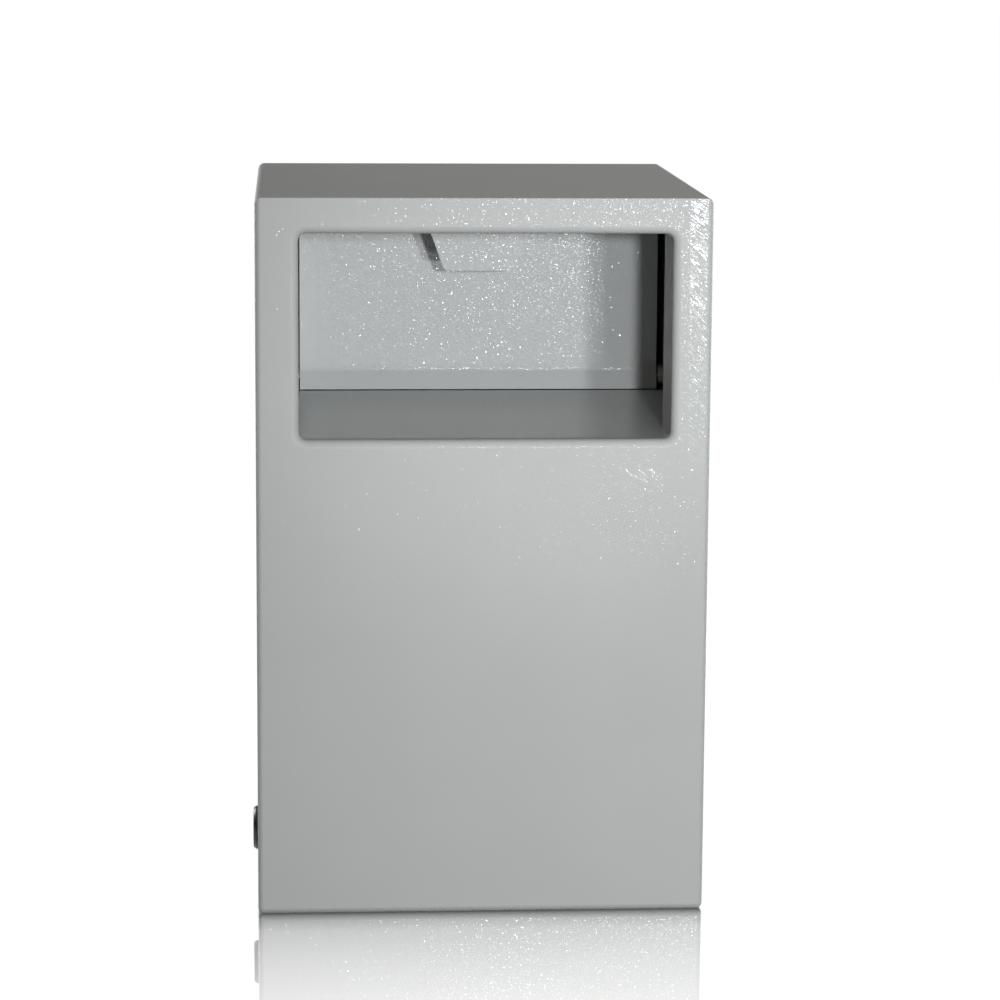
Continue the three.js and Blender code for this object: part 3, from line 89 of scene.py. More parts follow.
class SafePaint(bpy.types.PropertyGroup):
    """The powder coat on the body, the recess floor, the flap and the door."""
    light: bpy.props.FloatVectorProperty(
        name="Paint", description="Colour of the powder coat", subtype="COLOR", size=4,
        min=0, max=1, default=to_linear("#b1b4b3"))
    flap: bpy.props.FloatVectorProperty(
        name="Flap paint", description="Colour of the powder coat on the flap and its handle, "
        "lighter to stand in for light that the recess lacks",
        subtype="COLOR", size=4, min=0, max=1, default=to_linear("#c2c5c4"))
    skin: bpy.props.FloatProperty(
        name="Skin", description="Share of clear glossy skin on a grain's flat top",
        subtype="FACTOR", min=0, max=1, default=0.2)
    flap_skin: bpy.props.FloatProperty(
        name="Flap skin", description="The same on the flap",
        subtype="FACTOR", min=0, max=1, default=0.4)
    peel: bpy.props.FloatProperty(
        name="Orange peel", description="Width of one dimple of the orange peel",
        subtype="DISTANCE", unit="LENGTH", default=1.7 * MM)
    peel_depth: bpy.props.FloatProperty(
        name="Peel depth", description="Height of the orange peel",
        subtype="DISTANCE", unit="LENGTH", precision=5, default=0.03 * MM)
    grain: bpy.props.FloatProperty(
        name="Grains", description="Distance between the grains of the powder",
        subtype="DISTANCE", unit="LENGTH", default=1.6 * MM)
    grain_tilt: bpy.props.FloatProperty(
        name="Grain tilt", description="Steepest lean of a grain's flat top",
        subtype="ANGLE", unit="ROTATION", default=math.radians(8))
    wave: bpy.props.FloatProperty(
        name="Sheet wave", description="Distance between the shallow waves of the sheet",
        subtype="DISTANCE", unit="LENGTH", default=95 * MM)
    wave_depth: bpy.props.FloatProperty(
        name="Wave depth", description="Height of the shallow waves of the sheet",
        subtype="DISTANCE", unit="LENGTH", precision=5, default=0.25 * MM)
    scratch: bpy.props.FloatProperty(
        name="Grinding marks", description="Width of a grinding mark under the paint",
        subtype="DISTANCE", unit="LENGTH", default=1.6 * MM)
    scratch_tilt: bpy.props.FloatProperty(
        name="Mark tilt", description="Steepest lean of a grinding mark's flanks",
        subtype="ANGLE", unit="ROTATION", default=math.radians(8))


class SafeShell(bpy.types.PropertyGroup):
    """Radii of the folded sheet body."""
    top_fold: bpy.props.FloatProperty(
        name="Top fold", description="Radius of the folds between the top and the sides",
        subtype="DISTANCE", unit="LENGTH", default=6 * MM)
    front_fold: bpy.props.FloatProperty(
        name="Front fold", description="Radius of the upright front edges",
        subtype="DISTANCE", unit="LENGTH", default=5 * MM)
    crisp: bpy.props.FloatProperty(
        name="Top front edge", description="Radius of the ground weld along the top front edge",
        subtype="DISTANCE", unit="LENGTH", default=0.8 * MM)
    sheet: bpy.props.FloatProperty(
        name="Sheet", description="Thickness of the body's sheet",
        subtype="DISTANCE", unit="LENGTH", default=4 * MM)
    sleeve_sheet: bpy.props.FloatProperty(
        name="Sleeve sheet", description="Thickness of the sleeve behind the rim",
        subtype="DISTANCE", unit="LENGTH", default=3 * MM)
    rim: bpy.props.FloatProperty(
        name="Rim", description="Radius of the rolled rim of the recess",
        subtype="DISTANCE", unit="LENGTH", default=7 * MM)
    rim_corner: bpy.props.FloatProperty(
        name="Rim corner", description="Radius of the recess's corners",
        subtype="DISTANCE", unit="LENGTH", default=6 * MM)


class SafeStage(bpy.types.PropertyGroup):
    """The studio's lamps, its even fill and the camera's lens."""
    right_lamp: bpy.props.FloatProperty(
        name="Right lamp", description="Power of the flash on the right", unit="POWER",
        default=44)
    upper_lamp: bpy.props.FloatProperty(
        name="Upper lamp", description="Power of the flash over the middle", unit="POWER",
        default=70)
    spark_lamp: bpy.props.FloatProperty(
        name="Low lamps", description="Power of the small lamps that strike sparks", unit="POWER",
        default=18)
    side_strip: bpy.props.FloatProperty(
        name="Side strip", description="Power of the upright strip at the right", unit="POWER",
        default=2.5)
    overhead: bpy.props.FloatProperty(
        name="Overhead", description="Power of the soft lamp above the customer", unit="POWER",
        default=5)
    rear_lamp: bpy.props.FloatProperty(
        name="Rear lamps", description="Power of each wide lamp on the staff side", unit="POWER",
        default=62)
    fill: bpy.props.FloatProperty(
        name="Fill", description="Strength of the even light from all round", default=0.07)
    lens: bpy.props.FloatProperty(
        name="Lens", description="Focal length on a 36 mm sensor", unit="CAMERA",
        default=119.56)


# Mesh helpers

# Angles in degrees
SHALLOW = (15, 30)  # a bend that the CAD node has as one crease lies between these
SHARP = 40  # above it an edge is broken, and up to it the faces are shaded smooth
TURNED = 25  # above it an edge of a turned piece is rounded
ROUND = 50  # up to it the faces of a round piece are shaded smooth
FOLD_STEPS = 6  # the flats in a rolled bend


def corners_matrix(low, high):
    """The matrix that turns a unit cube into the box between two corners."""
    size = high - low
    return Matrix.Translation((low + high) / 2) @ Matrix.Diagonal(size).to_4x4()


def each_once(items):
    """The items in their order, without repeats."""
    return list(dict.fromkeys(items))


def bevel(bm, edges, radius, segments=3):
    """Round edges of a bmesh."""
    verts = each_once(vert for edge in edges for vert in edge.verts)
    bmesh.ops.bevel(
        bm, geom=verts + list(edges), offset=radius, offset_type="OFFSET", segments=segments,
        profile=0.5, affect="EDGES", clamp_overlap=True, material=-1)


def sink(bm, face, inward, depth):
    """Draw a face's edge inward and push the face back, leaving a wall of new faces."""
    return bmesh.ops.inset_region(
        bm, faces=[face], thickness=inward, depth=-depth, use_even_offset=True,
        use_boundary=True)["faces"]


def baked(bm, kind, **settings):
    """The bmesh that a modifier makes of a bmesh."""
    mesh = bpy.data.meshes.new("blank")
    bm.to_mesh(mesh)
    bm.free()
    blank = bpy.data.objects.new("blank", mesh)
    bpy.context.scene.collection.objects.link(blank)
    modifier = blank.modifiers.new("Step", kind)
    for name, value in settings.items():
        setattr(modifier, name, value)
    made_of_it = blank.evaluated_get(bpy.context.evaluated_depsgraph_get())
    bm = bmesh.new()
    bm.from_mesh(made_of_it.to_mesh())
    made_of_it.to_mesh_clear()
    bpy.data.objects.remove(blank)
    return bm


def edges_between(bm, least, most=360):
    """The edges whose faces meet at more than one angle and less than another, in degrees."""
    return [edge for edge in bm.edges if edge.is_manifold
            and math.radians(least) < edge.calc_face_angle() < math.radians(most)]


def on_plane(edge, axis, value, tolerance=1e-5):
    """Whether both ends of an edge lie on a plane across an axis."""
    return all(abs(vert.co[axis] - value) < tolerance for vert in edge.verts)


def along(edge, axis):
    """Whether an edge runs along an axis."""
    way = edge.verts[1].co - edge.verts[0].co
    return way.length > 0 and abs(way[axis]) > 0.999 * way.length


def turned(bm, centre, axis, profile, steps=64):
    """Spin (radius, distance) points about an axis through a centre, as on a lathe."""
    axis = Vector(axis)
    side = axis.orthogonal().normalized()
    verts = [bm.verts.new(Vector(centre) + side * r + axis * d) for r, d in profile]
    edges = [bm.edges.new(pair) for pair in zip(verts, verts[1:])]
    bmesh.ops.spin(
        bm, geom=verts + edges, cent=centre, axis=axis, dvec=(0, 0, 0),
        angle=math.tau, steps=steps, use_merge=True)
    bmesh.ops.remove_doubles(bm, verts=bm.verts, dist=1e-6)
    bmesh.ops.recalc_face_normals(bm, faces=bm.faces)


def swept(bm, outline, along_x):
    """A face through outline points, pushed from the first to the second place along X."""
    verts = [bm.verts.new((along_x[0], y, z)) for y, z in outline]
    face = bm.faces.new(verts)
    pushed = bmesh.ops.extrude_face_region(bm, geom=[face])
    moved = [item for item in pushed["geom"] if isinstance(item, bmesh.types.BMVert)]
    bmesh.ops.translate(bm, verts=moved, vec=(along_x[1] - along_x[0], 0, 0))
    bmesh.ops.recalc_face_normals(bm, faces=bm.faces)


def finish_piece(bm, name, material, body, nodes, smooth=30):
    """Make a bmesh an object that stands for CAD nodes and rides on their body, with its
    broad faces kept flat beside their rounded edges."""
    mesh = bpy.data.meshes.new(name)
    bm.to_mesh(mesh)
    bm.free()
    mesh.polygons.foreach_set("use_smooth", [True] * len(mesh.polygons))
    mesh.set_sharp_from_angle(angle=math.radians(smooth))
    mesh.materials.append(material)
    piece = bpy.data.objects.new(name, mesh)
    bpy.context.scene.collection.objects.link(piece)
    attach(piece, body)
    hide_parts(*nodes)
    modifier = piece.modifiers.new("Weighted normals", "WEIGHTED_NORMAL")
    modifier.keep_sharp = True
    modifier.weight = 100


def body_of(node):
    """The name of the body that holds a CAD node."""
    bodies = frame["record"]["behaviour"]["bodies"]
    return next(body for body, nodes in bodies.items() if node in nodes)


def slot_of(node):
    """The record's material slot of a CAD node."""
    parts = frame["record"]["subparts"]
    return next(part["material_slot"] for part in parts if part["node"] == node)


def softened(node, radius, fold=None, segments=2, trim=None):
    """Make a copy of a sharp CAD node with its edges broken and its shallow bends rolled."""
    bm = bmesh.new()
    bm.from_mesh(frame["nodes"][node].data)
    bmesh.ops.remove_doubles(bm, verts=bm.verts, dist=2e-6)
    bmesh.ops.dissolve_limit(
        bm, angle_limit=math.radians(1), use_dissolve_boundaries=False,
        verts=bm.verts, edges=bm.edges, delimit=set())
    if trim:
        trim(bm)
    if fold:
        bevel(bm, edges_between(bm, *SHALLOW), fold, FOLD_STEPS)
    bevel(bm, edges_between(bm, SHARP), radius, segments)
    finish_piece(
        bm, node + "_finished", material_for(slot_of(node)), body_of(node),
        [node], smooth=SHARP)


# Materials

CLOUD = 70  # mm across a cloud of slightly darker paint
CLOUD_SHADE = 0.94  # its colour beside the paint's
COAT_ROUGHNESS = 0.15
POLYMER_IOR = 1.5
GRAIN_TOP = (0.42, 0.36)  # where a grain's flat top ends and begins, in grains from its middle
MARK_SLANT = math.radians(40)
MARK_WIDTHS = 6  # a grinding mark's length, in widths
MARK_CREST = (0.5, 0.56)  # the noise from which a mark shows, and where it is full
MARK_GLOSS = 3.0  # the gloss of a mark beside that of a grain
PATCH_EDGE = (1.0, 0.8)  # where a ground patch ends and is full, in half sizes from its middle
STREAK = 0.06  # the width of the mill's grain beside its length


def add_node(tree, kind, links=(), **settings):
    """Add a shader node, set its inputs and properties, and link its inputs."""
    node = tree.nodes.new(kind)
    for key, value in settings.items():
        name = key.replace("_", " ").title().replace("Ior", "IOR")
        if hasattr(node, key):
            setattr(node, key, value)
        else:
            node.inputs[name].default_value = value
    for name, source in links:
        tree.links.new(source, node.inputs[name])
    return node


def joined(tree, kind, operation, *sources):
    """Sockets and constants joined by a maths node."""
    node = add_node(tree, kind, operation=operation)
    for socket, source in zip(node.inputs, sources):
        if isinstance(source, bpy.types.NodeSocket):
            tree.links.new(source, socket)
        else:
            socket.default_value = source
    return node.outputs[0]


def value_of(tree, operation, *sources):
    """A number made of sockets and constants."""
    return joined(tree, "ShaderNodeMath", operation, *sources)


def vector_of(tree, operation, *sources):
    """A vector made of sockets and constants."""
    return joined(tree, "ShaderNodeVectorMath", operation, *sources)


def span(tree, source, before, after=(0.0, 1.0), curve="LINEAR"):
    """A value carried from one range to another, and held at its ends."""
    node = add_node(
        tree, "ShaderNodeMapRange", [("Value", source)], interpolation_type=curve)
    for name, value in zip(("From Min", "From Max", "To Min", "To Max"), (*before, *after)):
        node.inputs[name].default_value = value
    return node.outputs["Result"]


def new_material(name):
    """An empty node material, its tree, its output node and its place on the object."""
    material = bpy.data.materials.new(name)
    material.use_nodes = True
    tree = material.node_tree
    tree.nodes.clear()
    output = tree.nodes.new("ShaderNodeOutputMaterial")
    return material, tree, output, add_node(tree, "ShaderNodeTexCoord").outputs["Object"]


def per_mm(width):
    """The noise scale that gives a pattern of that width in millimetres."""
    return 1000.0 / width


def ground_patch(tree, place, centre, half):
    """1 in the middle of a box of the sheet where a weld was ground flush, 0 from its faces."""
    local = add_node(
        tree, "ShaderNodeMapping", [("Vector", place)], vector_type="TEXTURE")
    local.inputs["Location"].default_value = centre
    local.inputs["Scale"].default_value = half
    size = vector_of(tree, "ABSOLUTE", local.outputs["Vector"])
    apart = add_node(tree, "ShaderNodeSeparateXYZ", [("Vector", size)]).outputs
    far = value_of(tree, "MAXIMUM", apart["X"], apart["Y"])
    return span(tree, value_of(tree, "MAXIMUM", far, apart["Z"]), PATCH_EDGE)


def lean(tree, colour, reach, share, peaked):
    """A lean of the surface's normal, picked by a texture's colour, up to an angle. When it is
    peaked, most leans are slight and few are steep."""
    unit = vector_of(tree, "MULTIPLY_ADD", colour, (2, 2, 2), (-1, -1, -1))
    way = unit
    if peaked:
        for _ in range(2):
            way = vector_of(tree, "MULTIPLY", way, unit)
    scale = value_of(tree, "MULTIPLY", share, math.tan(reach))
    held = add_node(
        tree, "ShaderNodeVectorMath", [("Vector", way), ("Scale", scale)], operation="SCALE")
    return held.outputs["Vector"]


def grain_tops(tree, place, paint):
    """Where a grain of powder flowed out to a small flat top, and how that top leans."""
    grain = add_node(tree, "ShaderNodeTexVoronoi", [("Vector", place)], scale=1 / paint.grain)
    share = span(tree, grain.outputs["Distance"], GRAIN_TOP)
    return share, lean(tree, grain.outputs["Color"], paint.grain_tilt, share, peaked=True)


def grinding_marks(tree, place, paint):
    """Where slanting grinding marks show through, on the ground welds beside the recess."""
    slant = add_node(
        tree, "ShaderNodeMapping", [("Vector", place)], vector_type="TEXTURE")
    slant.inputs["Rotation"].default_value = (0, MARK_SLANT, 0)
    slant.inputs["Scale"].default_value = (MARK_WIDTHS, MARK_WIDTHS, 1)
    marks = add_node(
        tree, "ShaderNodeTexNoise", [("Vector", slant.outputs["Vector"])],
        scale=1 / paint.scratch, detail=1.0, roughness=0.5)
    crest = span(tree, marks.outputs["Fac"], MARK_CREST, (0.0, MARK_GLOSS))
    front = cad_box[0].y
    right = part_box("front_panel")[1].x
    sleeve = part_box("recess_collar")[1]
    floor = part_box("deposit_shelf")[1].z
    border = (right - sleeve.x) / 3
    strip = ground_patch(
        tree, place, (right - border, front, sleeve.z - 90 * MM), (border, 20 * MM, 125 * MM))
    corner = ground_patch(
        tree, place, (sleeve.x - 28 * MM, front, floor - 35 * MM),
        (20 * MM, 20 * MM, 12 * MM))
    share = value_of(tree, "MULTIPLY", value_of(tree, "MAXIMUM", strip, corner), crest)
    return share, lean(
        tree, marks.outputs["Color"], paint.scratch_tilt / MARK_GLOSS, share, peaked=False)


def powder_coat(name, colour, gloss, roughness=0.5, specular=0.2, ground=False):
    """Light grey polyester powder coat on steel sheet. Its pigmented film is satin and even,
    over sheet with shallow waves. Grains that flowed out to a glossy top strike small white
    sparks, dense where a lamp is mirrored and sparse far from there."""
    paint = bpy.context.scene.safe_paint
    material, tree, output, place = new_material(name)
    cloud = add_node(
        tree, "ShaderNodeTexNoise", [("Vector", place)], scale=per_mm(CLOUD), detail=3.0)
    shade = add_node(
        tree, "ShaderNodeMix", [("Factor", cloud.outputs["Fac"])], data_type="RGBA")
    shade.inputs["A"].default_value = colour
    shade.inputs["B"].default_value = [part * CLOUD_SHADE for part in colour[:3]] + [1.0]
    wave = add_node(
        tree, "ShaderNodeTexNoise", [("Vector", place)],
        scale=1 / paint.wave, detail=1.0, roughness=0.4)
    peel = add_node(
        tree, "ShaderNodeTexNoise", [("Vector", place)], scale=1 / paint.peel, detail=0.0)
    waved = add_node(
        tree, "ShaderNodeBump", [("Height", wave.outputs["Fac"])], distance=paint.wave_depth)
    peeled = add_node(
        tree, "ShaderNodeBump",
        [("Height", peel.outputs["Fac"]), ("Normal", waved.outputs["Normal"])],
        distance=paint.peel_depth).outputs["Normal"]
    share, leant = grain_tops(tree, place, paint)
    if ground:
        marked, slanted = grinding_marks(tree, place, paint)
        share = value_of(tree, "MAXIMUM", share, marked)
        leant = vector_of(tree, "ADD", leant, slanted)
    top = vector_of(tree, "NORMALIZE", vector_of(tree, "ADD", peeled, leant))
    shader = add_node(
        tree, "ShaderNodeBsdfPrincipled",
        [("Base Color", shade.outputs["Result"]), ("Normal", peeled),
         ("Coat Weight", value_of(tree, "MULTIPLY", share, gloss)), ("Coat Normal", top)],
        roughness=roughness, metallic=0.0, IOR=POLYMER_IOR, specular_ior_level=specular,
        coat_roughness=COAT_ROUGHNESS, coat_ior=POLYMER_IOR)
    tree.links.new(shader.outputs["BSDF"], output.inputs["Surface"])
    return material


def body_paint():
    """The body's coat, with the ground welds beside the recess showing through."""
    paint = bpy.context.scene.safe_paint
    return powder_coat(
        "powder coat on the body, light grey satin", list(paint.light), paint.skin, ground=True)


def shelf_paint():
    """The body's coat on the recess's floor. It has more sheen, as if what slides over it had
    burnished it, and so it catches some of the light that the recess lacks."""
    paint = bpy.context.scene.safe_paint
    return powder_coat(
        "powder coat on the recess floor, burnished", list(paint.light), paint.skin,
        roughness=0.3, specular=0.7)


def door_paint():
    """The door's coat: the body's powder on a plain plate."""
    paint = bpy.context.scene.safe_paint
    return powder_coat(
        "powder coat on the door, light grey satin", list(paint.light), paint.skin)


def flap_paint():
    """The flap's coat, a little lighter and glossier than the body's. The photograph shows the
    flap as bright as the front, and the lighter paint stands in for light that the lamps of
    this stage don't bring into the recess. The real flap may have the body's colour."""
    paint = bpy.context.scene.safe_paint
    return powder_coat(
        "powder coat on the flap, light grey satin", list(paint.flap), paint.flap_skin)


def plated_sheet(name, hex_colour, roughness, grain=0.35, depth=0.012):
    """Rolled or drawn steel under a thin plating: streaks of the mill's grain along Z, a
    cloudy sheen from the bath, and no colour of its own beyond the metal's."""
    material, tree, output, place = new_material(name)
    drawn = add_node(tree, "ShaderNodeMapping", [("Vector", place)])
    drawn.inputs["Scale"].default_value = (1, 1, STREAK)
    streaks = add_node(
        tree, "ShaderNodeTexNoise", [("Vector", drawn.outputs["Vector"])],
        scale=per_mm(grain), detail=2.0)
    clouds = add_node(
        tree, "ShaderNodeTexNoise", [("Vector", place)], scale=per_mm(18), detail=3.0)
    gloss = span(
        tree, clouds.outputs["Fac"], (0.0, 1.0), (roughness * 0.8, roughness * 1.25))
    bump = add_node(
        tree, "ShaderNodeBump", [("Height", streaks.outputs["Fac"])], distance=depth * MM)
    shader = add_node(
        tree, "ShaderNodeBsdfPrincipled",
        [("Roughness", gloss), ("Normal", bump.outputs["Normal"])], metallic=1.0)
    shader.inputs["Base Color"].default_value = to_linear(hex_colour)
    tree.links.new(shader.outputs["BSDF"], output.inputs["Surface"])
    return material


def moulded(name, hex_colour, roughness, grain, depth):
    """A moulded polymer with the fine spark-eroded grain of its tool, dull and even."""
    material, tree, output, place = new_material(name)
    texture = add_node(
        tree, "ShaderNodeTexNoise", [("Vector", place)], scale=per_mm(grain), detail=3.0)
    bump = add_node(
        tree, "ShaderNodeBump", [("Height", texture.outputs["Fac"])], distance=depth * MM)
    shader = add_node(
        tree, "ShaderNodeBsdfPrincipled", [("Normal", bump.outputs["Normal"])],
        roughness=roughness, metallic=0.0, IOR=POLYMER_IOR)
    shader.inputs["Base Color"].default_value = to_linear(hex_colour)
    tree.links.new(shader.outputs["BSDF"], output.inputs["Surface"])
    return material


# How the finish of each slot of the record is made. A finish is made once.
MAKERS = {
    "painted_body": body_paint,
    "painted_flap": flap_paint,
    "painted_door": door_paint,
    "zinc_steel": lambda: plated_sheet("zinc-plated steel, satin", "#b9bdc1", 0.34),
    "bright_steel": lambda: plated_sheet("nickel-chromed casting", "#d9dadb", 0.12, 0.6, 0.004),
    "spring_steel": lambda: plated_sheet("oiled spring wire", "#5b5c5f", 0.3),
    "hard_plate": lambda: plated_sheet("blued hardened steel", "#4a4e55", 0.36),
    "bronze_bush": lambda: plated_sheet("turned bronze, tinned", "#c9c6bf", 0.3),
    "black_plastic": lambda: moulded("black nylon, moulded", "#141414", 0.38, 0.9, 0.02),
    "black_rubber": lambda: moulded("black rubber strip", "#191918", 0.75, 1.4, 0.05),
}
made = {}


def material_for(slot):
    """The material of a slot, made the first time that it is asked for."""
    if slot not in made:
        made[slot] = MAKERS[slot]()
    return made[slot]


# Operators

class SAFE_OT_body(bpy.types.Operator):
    """Fold the painted body from one sheet, with the rolled rim and sleeve of the recess"""
    bl_idname = "safe.body"
    bl_label = "Painted body"

    def execute(self, context):
        shell = context.scene.safe_shell
        bm = self.folded_box(shell)
        front = min(bm.faces, key=lambda face: (round(face.calc_center_median().y, 4),
                                                -face.calc_area()))
        front_y = front.calc_center_median().y
        bmesh.ops.delete(bm, geom=[front], context="FACES_ONLY")
        self.roll_rim(bm, shell, front_y)
        loops = [edge for edge in bm.edges if edge.is_boundary and on_plane(edge, 1, front_y)]
        bmesh.ops.triangle_fill(
            bm, edges=loops, use_beauty=True, use_dissolve=True, normal=(0, -1, 0))
        bm = baked(
            bm, "SOLIDIFY", thickness=shell.sheet, offset=-1, use_even_offset=True)
        finish_piece(
            bm, "painted_body", material_for("painted_body"), "safe_body",
            ["body_wrap", "front_panel", "recess_collar"])
        return {"FINISHED"}

    @staticmethod
    def folded_box(shell):
        """The sheet's outside: two sides, the top, the front and the front's short returns."""
        low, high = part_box("body_wrap")
        low.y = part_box("front_panel")[0].y
        pan_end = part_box("front_panel")[1].y
        bm = bmesh.new()
        bmesh.ops.create_cube(bm, size=1, matrix=corners_matrix(low, high))
        bmesh.ops.bisect_plane(
            bm, geom=bm.verts[:] + bm.edges[:] + bm.faces[:], plane_co=(0, pan_end, 0),
            plane_no=(0, 1, 0))
        away = [face for face in bm.faces if face.normal.y > 0.9
                or (face.normal.z < -0.9 and face.calc_center_median().y > pan_end)]
        bmesh.ops.delete(bm, geom=away, context="FACES")
        weights = bm.edges.layers.float.new("bevel_weight_edge")
        for edge in bm.edges:
            on_side = on_plane(edge, 0, low.x) or on_plane(edge, 0, high.x)
            on_front = on_plane(edge, 1, low.y)
            if (on_side and on_plane(edge, 2, high.z)) or (on_front and on_plane(edge, 2, low.z)):
                edge[weights] = 1.0
            elif on_front and on_plane(edge, 2, high.z):
                edge[weights] = shell.crisp / shell.top_fold
            elif on_front or (on_side and on_plane(edge, 2, low.z) and edge.is_manifold):
                edge[weights] = shell.front_fold / shell.top_fold
        return baked(bm, "BEVEL", limit_method="WEIGHT", width=shell.top_fold, segments=7)

    @staticmethod
    def roll_rim(bm, shell, front_y):
        """Roll the rim of the opening and run it on into the sleeve."""
        sleeve_low, sleeve_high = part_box("recess_collar")
        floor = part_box("deposit_shelf")[1].z
        grown = shell.rim - shell.sleeve_sheet
        left, right, top = sleeve_low.x - grown, sleeve_high.x + grown, sleeve_high.z + grown
        foot = floor - shell.rim
        corners = [(left, foot), (right, foot), (right, top), (left, top)]
        verts = [bm.verts.new((x, front_y, z)) for x, z in corners]
        bm.faces.new(verts)
        corner_steps = 8
        bmesh.ops.bevel(
            bm, geom=verts, offset=shell.rim + shell.rim_corner, offset_type="OFFSET",
            segments=corner_steps, profile=0.5, affect="VERTICES", material=-1)
        rounded = len(corners) * (corner_steps + 1)
        face = next(face for face in bm.faces if len(face.verts) == rounded)
        face.normal_update()
        roll_steps = 9
        for step in range(roll_steps):
            a, b = (math.pi / 2 * i / roll_steps for i in (step, step + 1))
            sink(bm, face, shell.rim * (math.sin(b) - math.sin(a)),
                 shell.rim * (math.cos(a) - math.cos(b)))
        sink(bm, face, 0, sleeve_low.y - front_y - shell.rim)
        sleeve = sink(bm, face, 0, sleeve_high.y - sleeve_low.y)
        bmesh.ops.delete(bm, geom=[face], context="FACES_ONLY")
        # The sleeve has no floor: the shelf is its floor, and its sides run straight down to it
        shoulder = floor + shell.rim_corner + 0.01 * MM
        low = [face for face in sleeve if max(vert.co.z for vert in face.verts) < shoulder]
        bmesh.ops.delete(bm, geom=low, context="FACES")
        ends = [edge for edge in bm.edges if edge.is_boundary and along(edge, 1)
                and floor < edge.verts[0].co.z < shoulder and edge.verts[0].co.y > front_y + MM]
        pushed = bmesh.ops.extrude_edge_only(bm, edges=ends)["geom"]
        moved = [item for item in pushed if isinstance(item, bmesh.types.BMVert)]
        bmesh.ops.translate(bm, verts=moved, vec=(0, 0, -shell.rim_corner))


class SAFE_OT_shelf(bpy.types.Operator):
    """Bend the floor of the recess, with its turned-down rear edge"""
    bl_idname = "safe.shelf"
    bl_label = "Recess floor"

    def execute(self, context):
        low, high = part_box("deposit_shelf")
        overlap = 0.25 * MM
        start = low.y - overlap
        sheet = context.scene.safe_shell.sheet
        bm = bmesh.new()
        swept(bm, [
            (start, high.z - sheet), (start, high.z), (high.y, high.z), (high.y, low.z),
            (high.y - sheet, low.z), (high.y - sheet, high.z - sheet)], (low.x, high.x))
        bend = [e for e in bm.edges if along(e, 0)
                and on_plane(e, 1, high.y) and on_plane(e, 2, high.z)]
        bevel(bm, bend, sheet, FOLD_STEPS)
        finish_piece(
            bm, "recess_floor", shelf_paint(), "safe_body",
            ["deposit_shelf"])
        return {"FINISHED"}


class SAFE_OT_flap(bpy.types.Operator):
    """Dress the tilting flap, its pull handle and the scoop behind it"""
    bl_idname = "safe.flap"
    bl_label = "Flap and pull handle"

    def execute(self, context):
        softened("flap_plate", 0.5 * MM, fold=16 * MM, trim=self.lengthen_lip)
        softened("pull_handle", 0.9 * MM, segments=4)
        softened("scoop_baffle", 0.3 * MM)
        softened("spring_crank", 0.4 * MM)
        return {"FINISHED"}

    @staticmethod
    def lengthen_lip(bm):
        """Bring the flap's lower lip down along its slope, close over the recess's floor."""
        gap = 0.4 * MM
        slope = math.radians(22)
        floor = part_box("deposit_shelf")[1]
        lip = [vert for vert in bm.verts
               if vert.co.y < floor.y + 6 * MM and vert.co.z < floor.z + 3 * MM]
        drop = min(vert.co.z for vert in lip) - floor.z - gap
        bmesh.ops.translate(bm, verts=lip, vec=(0, -drop * math.tan(slope), -drop))


class SAFE_OT_plug(bpy.types.Operator):
    """Turn the blanking plug of the cable hole, with its domed head"""
    bl_idname = "safe.plug"
    bl_label = "Cable plug"

    def execute(self, context):
        low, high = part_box("cable_plug")
        radius = (high.z - low.z) / 2
        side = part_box("body_wrap")[0].x
        centre = Vector((side, (low.y + high.y) / 2, (low.z + high.z) / 2))
        height = side - low.x
        flange = 2.7 * MM
        barrel = radius - flange
        bm = bmesh.new()
        turned(bm, centre, (-1, 0, 0), [
            (0, side - high.x), (barrel - MM, side - high.x), (barrel, side - high.x + MM),
            (barrel, 0), (radius, 0), (radius, height * 0.45), (radius * 0.9, height),
            (0, height)])
        bevel(bm, edges_between(bm, TURNED), 0.7 * MM, 3)
        finish_piece(
            bm, "cable_plug_moulded", material_for("black_plastic"), "safe_body",
            ["cable_plug"], smooth=ROUND)
        return {"FINISHED"}


